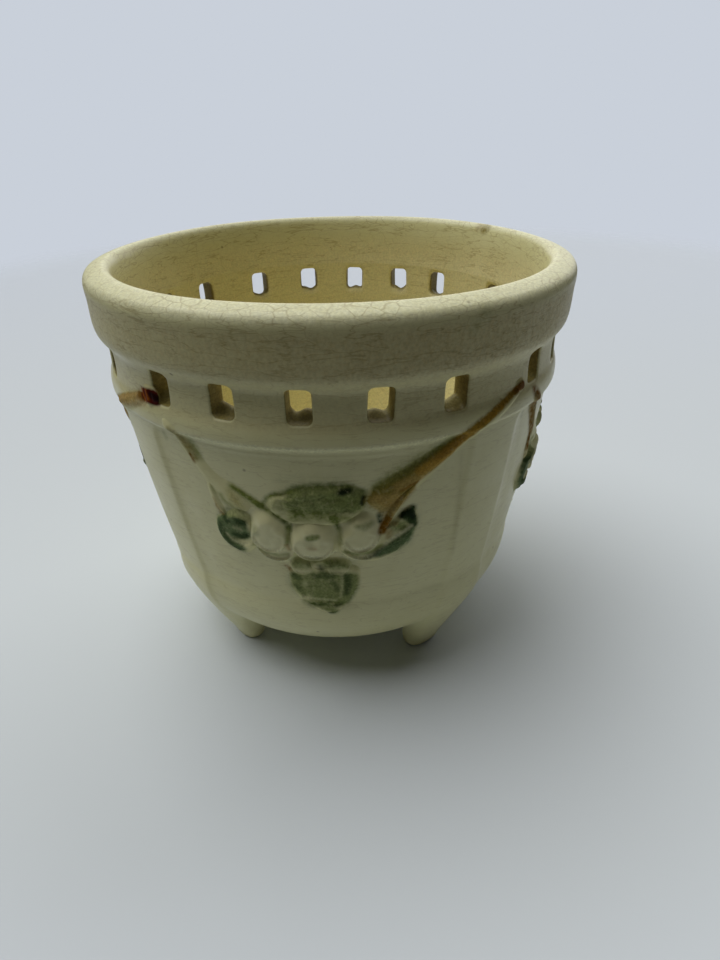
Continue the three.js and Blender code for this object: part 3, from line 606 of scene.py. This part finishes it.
# Pierced band: a low wall with five upright holes over each panel. The holes are cut with a knife
# in the soft clay, so no two are quite alike, and the glaze rounds their edges and pools in them.
BAND_TOP = 96.0
BAND_R, BAND_WALL = 60, 5.35
HOLE_Z, HOLE_WIDE, HOLE_TALL, HOLE_CORNER = 90.35, 5.6, 8.0, 1.35
HOLE_PITCH, PITCH_AT_PILASTER = 16.2, 25.2
rng = np.random.default_rng(5)


def run_along(line):
    """Distance run along a line at each of its points."""
    return np.concatenate([[0], np.cumsum(np.hypot(*np.diff(line, axis=0).T))])


def hole_outline(width, height, count):
    """Points spread evenly round an upright rectangle with round corners."""
    u, v = width / 2 - HOLE_CORNER, height / 2 - HOLE_CORNER
    track = []
    for cu, cz, start in ((u, v, 0), (-u, v, 90), (-u, -v, 180), (u, -v, 270)):
        for turn in np.radians(np.linspace(start, start + 90, 9)):
            track.append((cu + HOLE_CORNER * math.cos(turn), cz + HOLE_CORNER * math.sin(turn)))
    track = np.array(track + track[:1])
    run = run_along(track)
    at = np.linspace(0, run[-1], count, endpoint=False)
    return np.stack([np.interp(at, run, track[:, 0]), np.interp(at, run, track[:, 1])], 1)


def hole_cell(mesh, angle_middle, left, right, tilt, width, height, pool_height, moved):
    """One hole and the wall round it, from the outer face through to the inner face."""
    low, high = SILL_TOP, BAND_TOP
    across_steps, up_steps = 22, 14
    outer_edge, inner_edge = 0.6, 1.2
    sides = [((right, low), (right, high), up_steps), ((right, high), (left, high), across_steps),
             ((left, high), (left, low), up_steps), ((left, low), (right, low), across_steps)]
    frame_points = np.concatenate([np.linspace(*side, endpoint=False) for side in sides])
    count = len(frame_points)
    track = hole_outline(width, height, count)
    start = int(np.argmin(np.abs(np.arctan2(track[:, 1], track[:, 0])
                                 - math.atan2(low - HOLE_Z, right))))
    track = np.roll(track, -start, axis=0)
    turn = np.array([[math.cos(tilt), -math.sin(tilt)], [math.sin(tilt), math.cos(tilt)]])
    hole = track @ turn.T + (moved, HOLE_Z)
    away = hole - (moved, HOLE_Z)
    away = away / np.linalg.norm(away, axis=1)[:, None]
    # glaze runs down and stands as a rounded pool on the inner part of the opening's floor
    pool = np.clip((HOLE_Z - 0.5 - hole[:, 1]) / (height / 2), 0, 1) ** 0.6
    pool = pool * (1 + 0.25 * np.sin(hole[:, 0] * 1.3 + angle_middle * 9)) * pool_height
    # each ring of points, across and up, goes with its depth in the wall
    rings = []
    for share in (0, 0.12, 0.28, 0.45, 0.62, 0.78, 0.9, 1):
        rings.append((frame_points * (1 - share) + (hole + away * outer_edge) * share, 0.0))
    for turn_in in np.radians((18, 36, 54, 72, 90)):
        rings.append((hole + away * outer_edge * (1 - math.sin(turn_in)),
                      outer_edge * (1 - math.cos(turn_in))))
    for depth in (1.3, 2.0, 2.6, 3.2, 3.8, 4.2):
        rings.append((hole + np.outer(pool * float(soft(1.2, 3.8, depth)), (0, 1)), depth))
    for turn_out in np.radians((18, 36, 54, 72, 90)):
        rings.append((hole + away * inner_edge * (1 - math.cos(turn_out))
                      + np.outer(pool * math.cos(turn_out) ** 0.8, (0, 1)),
                      BAND_WALL - inner_edge * (1 - math.sin(turn_out))))
    for share in (0.9, 0.75, 0.5, 0.25, 0):
        rings.append((frame_points * (1 - share) + (hole + away * inner_edge) * share, BAND_WALL))
    laid = []
    for points, depth in rings:
        skin_r = np.interp(points[:, 1], UPPER_Z, UPPER_R)
        wall = skin_r - depth - (skin_r - BAND_R) * min(depth / 3.5, 1)
        laid.append(placed(wall, angle_middle + points[:, 0] / BAND_R, points[:, 1]))
    front, back = stacked(mesh, laid)
    # the hidden joint faces above and below
    for i in range(count):
        j = (i + 1) % count
        level = frame_points[[i, j], 1]
        if level[0] == level[1] and level[0] in (low, high):
            mesh.faces.new((back[i], back[j], front[j], front[i]))


# the holes seen at the back are cut a little off their even places
MOVED = {(2, 4): 2.2, (2, 2): -0.7, (2, 1): -1.1, (3, 0): -1.5}
band_mesh = bmesh.new()
for panel in range(4):
    for hole in range(5):
        half_left = math.radians(HOLE_PITCH if hole else PITCH_AT_PILASTER) / 2
        half_right = math.radians(HOLE_PITCH if hole < 4 else PITCH_AT_PILASTER) / 2
        hole_cell(band_mesh, math.radians(panel * 90 + (hole - 2) * HOLE_PITCH), -half_left * BAND_R,
                  half_right * BAND_R, math.radians(rng.normal(0, 1.6)),
                  HOLE_WIDE + rng.normal(0, 0.12), HOLE_TALL + rng.normal(0, 0.12),
                  1.5 + rng.normal(0, 0.25), MOVED.get((panel, hole), rng.normal(0, 0.12)))
bmesh.ops.remove_doubles(band_mesh, verts=band_mesh.verts[:], dist=2e-5)
bmesh.ops.recalc_face_normals(band_mesh, faces=band_mesh.faces[:])
band = smooth_piece("glazed_pierced_band", band_mesh)
band.data.set_sharp_from_angle(angle=JOINT_ANGLE)
fitted(band, ivory_glaze, "ivory_glaze", "pierced_band")

# Rim: the thick rolled top edge, which coves out over the holes and is wiped round with a sponge,
# so that its lip is flat, soft-edged and a little wavy.
rim_outside = ([(float(plain_skin(np.array(BAND_TOP))), BAND_TOP)]
               + [(r, z) for r, z in UPPER_OUTSIDE if z > BAND_TOP + 0.05])
rim_inside = flowing([(61.5, 110.2), (60.4, 110.6), (59.3, 110.9), (58.4, 111), (57.6, 110.7),
                      (56.95, 110), (56.5, 109.0), (56.15, 107.6), (55.8, 105.8), (55.4, 102.6), (55, 99),
                      (54.65, 96.0)], 5)
rim = smooth_piece("glazed_rim", turned(rim_outside + rim_inside[1:], 540, True))
corners = corners_of(rim)
angle, radius = around(corners)
loose = soft(98, 105, corners[:, 2])
wave = 0.12 * np.sin(2 * angle + 0.6) + 0.08 * np.sin(3 * angle + 2.1) + 0.04 * np.sin(7 * angle) - 0.12
corners[:, :2] *= (1 + loose * wave / radius)[:, None]
corners[:, 2] += loose * (0.12 * np.sin(2 * angle + 2.4) + 0.07 * np.sin(5 * angle + 1) - 0.2)
move_corners(rim, corners)
rim.data.set_sharp_from_angle(angle=JOINT_ANGLE)
fitted(rim, ivory_glaze, "ivory_glaze", "rim")

# Feet: four blunt stubs, one under each pilaster. They are drawn down from the base in the same
# casting, with a wiped flat sole each and a soft web of clay where they spread into the base.
SOLE_R, SOLE_HALF_WIDE, SOLE_HALF_DEEP, SOLE_EDGE = 38.1, 4.1, 1.9, 1.9


def foot(node, middle):
    count = 96
    turns = np.linspace(0, 2 * math.pi, count, endpoint=False)
    cos, sin = np.cos(turns), np.sin(turns)
    squared = (np.abs(cos) ** 2.5 + np.abs(sin) ** 2.5) ** (-1 / 2.5)
    cos_squared, sin_squared = squared * cos, squared * sin
    share = (sin + 1) / 2

    def stood(half_wide, outward, z):
        across, out = half_wide * cos_squared, SOLE_R + outward
        return np.stack([math.cos(middle) * across + math.sin(middle) * out,
                         math.sin(middle) * across - math.cos(middle) * out, z + np.zeros(count)], 1)

    def on_base(half_wide, climb, off):
        r, z = base_point(climb)
        at = middle + np.arcsin(np.clip(half_wide * cos_squared / r, -1, 1))
        return placed(r + pilaster_rise(at, z) + off, at, z)

    # the sole and its rounded edge, then all round a curve from there up to its root on the base:
    # it starts upright, swings out more on the outer side, and arrives along the base
    rings = [stood(SOLE_HALF_WIDE, SOLE_HALF_DEEP * sin_squared, 0.0)]
    for turn_up in np.radians((20, 40, 60, 80)):
        grown = SOLE_EDGE * math.sin(turn_up)
        rings.append(stood(SOLE_HALF_WIDE + grown, (SOLE_HALF_DEEP + grown) * sin_squared,
                           SOLE_EDGE * (1 - math.cos(turn_up))))
    start = stood(6.05, 3.85 * sin_squared, 2.2)
    lifted = stood(6.9, 3.85 * sin_squared + 3.4 * share ** 2, 4.0 + 4.4 * share)
    climb = np.radians(12 + 61 * share ** 1.05)
    root = on_base(10.6, climb, -0.04)
    near = on_base(8.8, climb - 0.22 * (2 * share - 1), 1.1 * share)
    for t in np.linspace(0, 1, 22):
        rings.append(start * (1 - t) ** 3 + lifted * 3 * t * (1 - t) ** 2
                     + near * 3 * t * t * (1 - t) + root * t ** 3)
    mesh = bmesh.new()
    for end in stacked(mesh, rings):
        mesh.faces.new(end)
    bmesh.ops.recalc_face_normals(mesh, faces=mesh.faces[:])
    piece = smooth_piece("glazed_" + node, mesh)
    piece.data.set_sharp_from_angle(angle=math.radians(60))
    fitted(piece, ivory_glaze, "ivory_glaze", node)


for side in range(1, 5):
    foot(f"foot_{side}", math.radians((side - 0.5) * 90))

# Roses: three blown flowers in a row in each panel, the middle one foremost. Each is a puffed disc
# of clay with a soft turned-down edge, and the outer two have a second row of petals below.
rose_glaze = glaze("rose_glaze", 0.2, 0.32, 0.35)
# a laid form's edge and its back lie so far under the skin of the wall
EDGE_SUNK, BACK_SUNK = 0.03, 0.7


def unit_lens(rings, floor_rings, sides):
    """A flat closed disc of unit radius, its top at z 1 and its back at z -1."""
    mesh = bmesh.new()
    top = [mesh.verts.new((share, 0, 1)) for share in rings]
    back = [mesh.verts.new((share, 0, -1)) for share in floor_rings]
    line = top + back
    edges = [mesh.edges.new(pair) for pair in zip(line, line[1:])]
    bmesh.ops.spin(mesh, geom=line + edges, cent=(0, 0, 0), axis=(0, 0, 1), angle=2 * math.pi,
                   steps=sides, use_merge=True)
    bmesh.ops.remove_doubles(mesh, verts=mesh.verts[:], dist=1e-6)
    bmesh.ops.recalc_face_normals(mesh, faces=mesh.faces[:])
    return mesh


def on_wall(across, z, height):
    """Points laid on the finished outside of the first panel, at a height above it."""
    turn_to = across / panel_ground(z)
    return placed(skin(turn_to, z) + height, turn_to, z)


def reach_of(outline):
    """The reach of an outline from its middle, as a rule of the angle."""
    outline = np.array(outline, float)
    middle = outline.mean(0)
    loop = np.array(flowing([*map(tuple, outline), tuple(outline[0])], 12)) - middle
    turns = np.unwrap(np.arctan2(loop[:, 1], loop[:, 0]))
    order = np.argsort(turns)
    return middle, lambda a: np.interp(a, turns[order], np.hypot(*loop.T)[order], period=2 * math.pi)


def pillow(middle, reach, crown, edge=(1.5, 3.0), rings=40, sides=120):
    """A laid form: its edge follows the reach, and its crown gives its height inside a soft edge,
    which is narrow below and wide above."""
    spread = np.sin(np.linspace(0, math.pi / 2, rings))
    piece = smooth_piece("laid_form", unit_lens([float(s) for s in spread], [1.0, 0.6, 0.0], sides))
    flat = corners_of(piece) * MM
    share = np.hypot(flat[:, 0], flat[:, 1])
    turn_to = np.arctan2(flat[:, 1], flat[:, 0])
    far = reach(turn_to)
    across = middle[0] + share * far * np.cos(turn_to)
    z = middle[1] + share * far * np.sin(turn_to)
    inside_by = (1 - share) * far
    rise = soft(0, edge[0] + (edge[1] - edge[0]) * soft(-0.6, 0.7, np.sin(turn_to)), inside_by)
    top = (crown(across, z, share, turn_to, inside_by) + EDGE_SUNK) * rise - EDGE_SUNK
    move_corners(piece, on_wall(across, z, np.where(flat[:, 2] > 0, top, -BACK_SUNK)))
    return piece


def oval(wide, tall, petals=0, scallop=0.0, phase=0.0):
    """The reach of an oval whose edge may be scalloped into petals."""
    def reach(a):
        plain = 1 / np.hypot(np.cos(a) / wide, np.sin(a) / tall)
        return plain * (1 - scallop + scallop * np.abs(np.cos(petals * (a - phase) / 2)))
    return reach


def ridge(across, z, points, half, height):
    """A soft raised line through points of the panel."""
    gap = np.full(len(across), 1e9)
    line = flowing(points, 4)
    for start, end in zip(line, line[1:]):
        gap = np.minimum(gap, beside(across, z, start, end)[1])
    return height * np.exp(-(gap / half) ** 2)


# how deep each panel's festoon was pressed: the second stands out most and the fourth is faint
PRESSED = (1, 1.25, 1, 0.6)


def in_each_panel(name, layers, material, slot, panels=range(4)):
    """Joins the layers of a laid form, and sets one such piece in each of the panels."""
    for panel in panels:
        mesh = bmesh.new()
        for layer in layers:
            mesh.from_mesh(layer.data)
        bmesh.ops.rotate(mesh, verts=mesh.verts[:], cent=(0, 0, 0),
                         matrix=Matrix.Rotation(panel * math.pi / 2, 3, "Z"))
        node = f"{name}_{panel + 1}"
        piece = smooth_piece("glazed_" + node, mesh)
        corners = corners_of(piece)
        angle, radius = around(corners)
        wall = skin(angle, corners[:, 2])
        corners[:, :2] *= ((wall + (radius - wall) * PRESSED[panel]) / radius)[:, None]
        move_corners(piece, corners)
        fitted(piece, material, slot, node)
    for layer in layers:
        bpy.data.objects.remove(layer)


def rose_crown(high, dimple):
    def crown(across, z, share, turn_to, inside_by):
        lower = soft(-0.2, 0.7, -np.sin(turn_to))
        puff = high * (1 - 0.16 * share ** 3)
        rim_line = 0.4 * np.exp(-((inside_by - 1.15) / 0.5) ** 2) * lower
        hollow = -0.32 * np.exp(-((inside_by - 2.2) / 0.75) ** 2) * lower
        folds = -0.16 * np.exp(-((share - 0.55) / 0.25) ** 2) * np.abs(np.cos(2.5 * turn_to + 0.4)) ** 6
        heart = dimple * np.exp(-(share / 0.16) ** 2) - dimple * 0.4 * np.exp(-((share - 0.3) / 0.1) ** 2)
        return puff + rim_line + hollow + folds + heart
    return crown


ROSES = {
    "rose_centre": [((0.7, 56.0), oval(6.3, 7.1, 5, 0.02, 0.3), rose_crown(2.3, -0.3), (1.7, 4.2))],
    "rose_left": [((-9.6, 57.4), oval(5.8, 7.2, 5, 0.02, 1.1), rose_crown(1.95, 0.1), (1.7, 4.2)),
                  ((-8.4, 54.2), oval(6.2, 6.9, 4, 0.02, 0.5), rose_crown(1.15, 0), (1.4, 4))],
    "rose_right": [((11.7, 57.6), oval(5.5, 6.9, 5, 0.02, 0.8), rose_crown(1.95, 0.1), (1.7, 4.2)),
                   ((12.2, 55.1), oval(6.4, 6.9, 4, 0.02, 0.2), rose_crown(1.15, 0), (1.4, 4))],
}
for flower, layers in ROSES.items():
    in_each_panel(flower, [pillow(*layer) for layer in layers], rose_glaze, "rose_glaze")

# Leaves: one curls out from behind the roses on each side. They are pressed thin, with a turned-up
# inner edge, along which a pale line is painted as a highlight.
leaf_paint = glaze("leaf_paint", 0.2, 0.36, 0.4, 0.03)


def folded(high, fall, *folds):
    """A crown that falls towards its edge. Its folds have points, a half width and a height."""
    def crown(across, z, share, turn_to, inside_by):
        body = high - fall * share ** 2
        for points, half, height in folds:
            body = body + ridge(across, z, points, half, height)
        return body
    return crown


LEFT_LEAF = [(-21.2, 60.4), (-24.2, 58.4), (-24.8, 54.8), (-23.2, 51), (-20.2, 48.9), (-17.2, 48.3),
             (-14.6, 50), (-12.6, 53), (-12.4, 57.5), (-14, 61.5), (-17.4, 63)]
left_crown = folded(1.15, 0.35, ([(-21.8, 53.6), (-19.6, 51.6), (-17, 51.3), (-14.4, 52.6)], 0.55, 0.5),
                    ([(-19.8, 59.6), (-17, 60.6), (-14.6, 59.4)], 0.7, 0.45),
                    ([(-18.6, 53.8), (-17, 53.9), (-15.4, 55)], 0.7, -0.45),
                    ([(-17.4, 58.4), (-15.6, 58.6)], 0.8, -0.4))
RIGHT_LEAF = [(20.4, 61), (23.6, 64), (25.6, 61.6), (25.8, 57.6), (24.4, 53.8), (21.4, 50.4), (17.6, 48.4),
              (13, 47.9), (12, 50.5), (14, 55), (16.6, 59.6)]
right_crown = folded(1.1, 0.3,
                     ([(24, 57.6), (21.6, 55.4), (18.8, 54), (16.4, 52.4), (13.6, 49.8)], 0.5, 0.6),
                     ([(22.6, 54), (19.6, 51.8), (16.6, 50.2)], 0.9, -0.25),
                     ([(20.6, 57.6), (22.2, 58.6)], 0.8, -0.35))
for leaf, outline, crown in (("leaf_left", LEFT_LEAF, left_crown), ("leaf_right", RIGHT_LEAF, right_crown)):
    in_each_panel(leaf, [pillow(*reach_of(outline), crown, (1.5, 2.2), 44, 144)], leaf_paint, "leaf_paint")

# Berries: a low mass of small knobs that fills the space over the roses. Each knob was pushed into
# the mould with a rounded tool, and the green over them is dabbed on, thick in the hollows.
berry_paint = glaze("berry_paint", 0.28, 0.36, 0.4, 0.03)
BERRY_OUTLINE = [(-9.8, 65), (-8.6, 68), (-5.6, 68.4), (-3, 70.4), (1.5, 71.5), (6.5, 71.5), (11, 71.2),
                 (13.6, 69), (13.4, 66), (11.6, 62.5), (6.4, 60), (0, 59.6), (-5, 60.5), (-8.6, 62.6)]
knobs = [(-7.4, 65.6, 2.1), (-3.6, 66.6, 1.7), (-1.4, 69.2, 1.5), (0.4, 66, 1.7), (2.2, 69.9, 1.5),
         (3.8, 66.8, 1.8), (5.8, 69.8, 1.6), (7.4, 66.6, 1.7), (9.6, 69, 1.6), (10.8, 66, 1.7),
         (12.2, 68.2, 1.2), (-3.4, 63.6, 1.5), (1.9, 63.4, 1.5), (5.4, 63.2, 1.4), (9, 63.4, 1.5)]


def berry_crown(across, z, share, turn_to, inside_by):
    bumps = np.zeros(len(across))
    for u, v, size in knobs:
        bumps = np.maximum(bumps, np.clip(1 - np.hypot(across - u, z - v) ** 2 / size ** 2, 0, 1) ** 0.7)
    return 1.05 + 0.38 * bumps


in_each_panel("berries", [pillow(*reach_of(BERRY_OUTLINE), berry_crown, (2, 2.6), 60, 200)],
              berry_paint, "berry_paint")

# Collar and hanging leaf: two small turned-down leaflets under the middle rose, and below them one
# broad leaf that folds along its right side and ends in a point over the ledge of the base.
collar_paint = glaze("collar_paint", 0.22, 0.34, 0.4, 0.08)
COLLAR = [((-2.4, 47.1), oval(3.7, 3.2, 3, 0.04, 0.4)), ((6, 47.2), oval(3.6, 3.1, 3, 0.04, 2.4)),
          ((2, 48.4), oval(3.4, 2.8))]
PENDANT = [(-6.6, 46), (-6.5, 41.5), (-5.4, 37), (-3.8, 34.4), (-0.6, 31.8), (3.8, 29.9), (6.6, 32),
           (8.6, 35), (10.6, 39), (11.6, 43), (10.6, 47), (2, 48.5)]
hanging_folds = folded(0.95, 0.2, ([(7.2, 45.5), (7.1, 42), (6.9, 38), (6.1, 35), (4.4, 34)], 0.55, 0.45),
                       ([(8.4, 43.6), (8.3, 39), (7.6, 35.6)], 0.7, -0.3),
                       ([(-3.4, 36.2), (-0.6, 35), (2.4, 34.6), (4.4, 34.2)], 0.5, 0.3))


def collar_crown(across, z, share, turn_to, inside_by):
    lower = soft(-0.1, 0.8, -np.sin(turn_to))
    return 1.35 + 0.3 * np.exp(-((inside_by - 1) / 0.4) ** 2) * lower - 0.25 * np.exp(-(share / 0.4) ** 2)


def pendant_crown(across, z, *rest):
    veins = 0.09 * np.sin(across * 2.9 + 0.5 * np.sin(z * 0.8)) * (across < 6.4)
    return hanging_folds(across, z, *rest) + veins


leaflets = [pillow(*leaflet, collar_crown, (1.3, 2.4), 30, 90) for leaflet in COLLAR]
in_each_panel("collar", leaflets, collar_paint, "collar_paint")
hanging = pillow(*reach_of(PENDANT), pendant_crown, (1.7, 2.2), 50, 160)
in_each_panel("pendant_leaf", [hanging], leaf_paint, "leaf_paint")

# Cords and knots: the ribbons that hang the flowers from the end holes. They are rolled strips
# pressed on to the wall, each split in two above the flowers, and the right one ends in a knot.
cord_paint = glaze("cord_paint", 0.22, 0.36, 0.4, 0.05)
knot_paint = glaze("knot_paint", 0.12, 0.3, 0.4, 0.05)


def strand(route, section, steps=90, sides=28):
    """A strip along a route of across, height, half width and thickness."""
    mesh = bmesh.new()
    top = [mesh.verts.new((v, 0, 1)) for v in np.linspace(-1, 1, sides)]
    back = [mesh.verts.new((v, 0, -1)) for v in (1, 0, -1)]
    loop = top + back
    edges = [mesh.edges.new(pair) for pair in zip(loop, loop[1:] + loop[:1])]
    bmesh.ops.spin(mesh, geom=loop + edges, cent=(0, 0, 0), axis=(0, 0, 1), angle=0,
                   dvec=(0, 1 / steps, 0), steps=steps)
    bmesh.ops.holes_fill(mesh, edges=mesh.edges[:], sides=0)
    bmesh.ops.recalc_face_normals(mesh, faces=mesh.faces[:])
    piece = smooth_piece("strand", mesh)
    flat = corners_of(piece) * MM
    line = np.array(flowing(route, 16))
    run = run_along(line[:, :2])
    at = flat[:, 1] * run[-1]
    u, z, half, thick = (np.interp(at, run, line[:, k]) for k in range(4))
    du, dz = (np.interp(at, run, np.gradient(line[:, k], run)) for k in range(2))
    size = np.hypot(du, dz)
    ends = np.clip(np.minimum(flat[:, 1], 1 - flat[:, 1]) * run[-1] / 2.2, 0, 1) ** 0.5
    half = half * (0.25 + 0.75 * ends)
    across = u - dz / size * half * flat[:, 0]
    level = z + du / size * half * flat[:, 0]
    rise = section(flat[:, 0]) * thick * ends
    top = (rise + EDGE_SUNK) * soft(1, 0.1, np.abs(flat[:, 0])) - EDGE_SUNK
    move_corners(piece, on_wall(across, level, np.where(flat[:, 2] > 0, top, -BACK_SUNK)))
    return piece


def ribbon(v):
    """Round above, with a raised line along the lower edge."""
    return 0.5 + 0.5 * np.cos(v * 1.4) + 0.22 * np.exp(-((v + 0.45) / 0.2) ** 2)


def plain(v):
    return np.cos(v * 1.25) ** 0.8


RIGHT_RIBBON = [(54.2, 86.8, 1.2, 0.55), (50, 85.3, 1.5, 0.6), (44, 82.8, 1.8, 0.65), (38, 80.2, 2.1, 0.75),
                (33, 77.4, 2.8, 0.9), (28, 74.4, 3.4, 1.05), (22.6, 70.8, 4.2, 1.1), (17.4, 67.6, 4.6, 1.1),
                (13.8, 65.8, 4.2, 0.9)]
RIGHT_FORK = [(25.6, 71, 0.8, 0.5), (22.6, 68, 1.3, 0.9), (20.8, 65.2, 1.5, 1.15), (19.2, 62.2, 1.3, 1.15),
              (17.8, 59.4, 1.1, 1.0), (16.8, 57, 0.9, 0.8)]
LEFT_RIBBON = [(-33.4, 83.6, 1.8, 0.3), (-31, 80.8, 2.4, 0.55), (-28.4, 77.4, 2.6, 0.5),
               (-25.6, 73.4, 2.6, 0.3), (-22.4, 69.6, 3, 0.35), (-18.2, 66.2, 3.8, 0.75),
               (-14, 63, 3.2, 0.7)]
LEFT_FORK = [(-24, 69.4, 1.2, 0.2), (-23.5, 65.6, 1.4, 0.4), (-22.4, 62.4, 1.4, 0.5),
             (-20.8, 59.8, 1.1, 0.4)]
LEFT_OUTLINE = [(-19.4, 70.2, 1.2, 0.2), (-16.2, 68, 1.4, 0.35), (-12.4, 65.4, 1.5, 0.4),
                (-9.6, 63.6, 1.3, 0.4)]
# the fourth panel's cord was pressed wider at its end, and its knot is larger
WIDE_RIBBON = [(u, z, half * (1.5 if u > 43 else 1), thick) for u, z, half, thick in RIGHT_RIBBON]
KNOT, LOW_KNOT = (56.6, 87.8), (54.2, 87.4)


def knot_crown(across, z, share, turn_to, inside_by):
    return 1.15 + 0.25 * np.cos((across - KNOT[0]) * 2.4) - 0.3 * share ** 2


for route, panels in ((RIGHT_RIBBON, (0, 1, 2)), (WIDE_RIBBON, (3,))):
    in_each_panel("cord_right", [strand(route, ribbon, 140), strand(RIGHT_FORK, plain, 60, 20)],
                  cord_paint, "cord_paint", panels)
in_each_panel("cord_left", [strand(LEFT_RIBBON, ribbon, 100), strand(LEFT_FORK, plain, 50, 18),
                            strand(LEFT_OUTLINE, plain, 50, 16)], cord_paint, "cord_paint")
for middle, reach, crown, panels in ((KNOT, oval(3.1, 2.7, 3, 0.06, 0.5), knot_crown, (3,)),
                                     (LOW_KNOT, oval(2.1, 1.9), folded(0.7, 0.25), (0, 1, 2))):
    in_each_panel("knot", [pillow(middle, reach, crown, (1.1, 1.3), 24, 60)],
                  knot_paint, "knot_paint", panels)

# Setting: a pale seamless floor, one wide soft light from above and one from behind, and the
# photograph's own viewpoint. The floor gives back the light that reaches the shaded front.
FLOOR_MIDDLE = (0, 0.3, 0)
floor_mesh = bmesh.new()
bmesh.ops.create_circle(floor_mesh, cap_ends=True, radius=0.65, segments=96)
bmesh.ops.translate(floor_mesh, verts=floor_mesh.verts[:], vec=FLOOR_MIDDLE)
floor = smooth_piece("floor", floor_mesh)
floor_material = bpy.data.materials.new("floor")
floor_material.use_nodes = True
put, add, ranged, maths, mixed = node_kit(floor_material.node_tree)
floor_shader = floor_material.node_tree.nodes["Principled BSDF"]
put(floor_shader.inputs["Roughness"], 0.7)
put(floor_shader.inputs["Specular IOR Level"], 0.1)
floor_place = add("TexCoord").outputs["Object"]
# its tone cools away from the camera, a painted sheen of the bright backdrop, and it fades out before its
# edge
further = ranged(add("SeparateXYZ", Vector=floor_place).outputs["Y"], 0, 0.5)
from_middle = add("VectorMath", Vector=floor_place)
from_middle.operation = "DISTANCE"
put(from_middle.inputs[1], FLOOR_MIDDLE)
fade = ranged(from_middle.outputs["Value"], 0.39, 0.54)
for share in (further, fade):
    share.node.interpolation_type = "SMOOTHSTEP"
put(floor_shader.inputs["Base Color"], mixed(further, (0.6, 0.64, 0.66), (0.59, 0.635, 0.69)))


def blended(share, first, second, output):
    """Ends a material or the world in a blend of two shaders."""
    blend = add("MixShader")
    for socket, value in zip(blend.inputs, (share, first.outputs[0], second.outputs[0])):
        put(socket, value)
    put(output.inputs["Surface"], blend.outputs[0])


blended(fade, floor_shader, add("BsdfTransparent"), floor_material.node_tree.nodes["Material Output"])
floor.data.materials.append(floor_material)

world = bpy.data.worlds.new("studio")
bpy.context.scene.world = world
world.use_nodes = True
put, add, ranged, maths, mixed = node_kit(world.node_tree)
ambient = world.node_tree.nodes["Background"]
put(ambient.inputs["Color"], (1.0, 0.96, 0.88))
put(ambient.inputs["Strength"], 0.042)
backdrop = add("Background", Color=(0.585, 0.63, 0.7))
rays = add("LightPath").outputs
seen = maths("MAXIMUM", rays["Is Camera Ray"], rays["Is Transmission Ray"])
blended(seen, ambient, backdrop, world.node_tree.nodes["World Output"])

for name, energy, spread, towards in (("overhead_light", 2.2, 53, (-0.38, 0.06, 0.92)),
                                      ("backdrop_light", 1.45, 76, (0.14, 0.85, 0.51))):
    lamp = bpy.data.lights.new(name, "SUN")
    lamp.energy = energy
    lamp.angle = math.radians(spread)
    sun = bpy.data.objects.new(name, lamp)
    bpy.context.collection.objects.link(sun)
    sun.rotation_euler = Vector(towards).to_track_quat("Z", "Y").to_euler()

# the photograph's viewpoint, solved from the rim, the holes, the ledges and the feet
camera_data = bpy.data.cameras.new("camera")
camera_data.lens = 24.375
camera_data.sensor_fit = "VERTICAL"
camera_data.sensor_height = 36
camera_data.clip_start = 0.01
camera = bpy.data.objects.new("camera", camera_data)
bpy.context.collection.objects.link(camera)
ahead = Vector((-0.08250501, 0.86568404, -0.49374494))
upward = Vector((-0.02825711, 0.49320281, 0.8694553))
to_right = ahead.cross(upward).normalized()
turn = Matrix((to_right, to_right.cross(ahead), -ahead)).transposed()
camera.matrix_world = Matrix.Translation((0.02365, -0.17964, 0.14225)) @ turn.to_4x4()
bpy.context.scene.camera = camera
bpy.context.scene.view_settings.view_transform = "Standard"
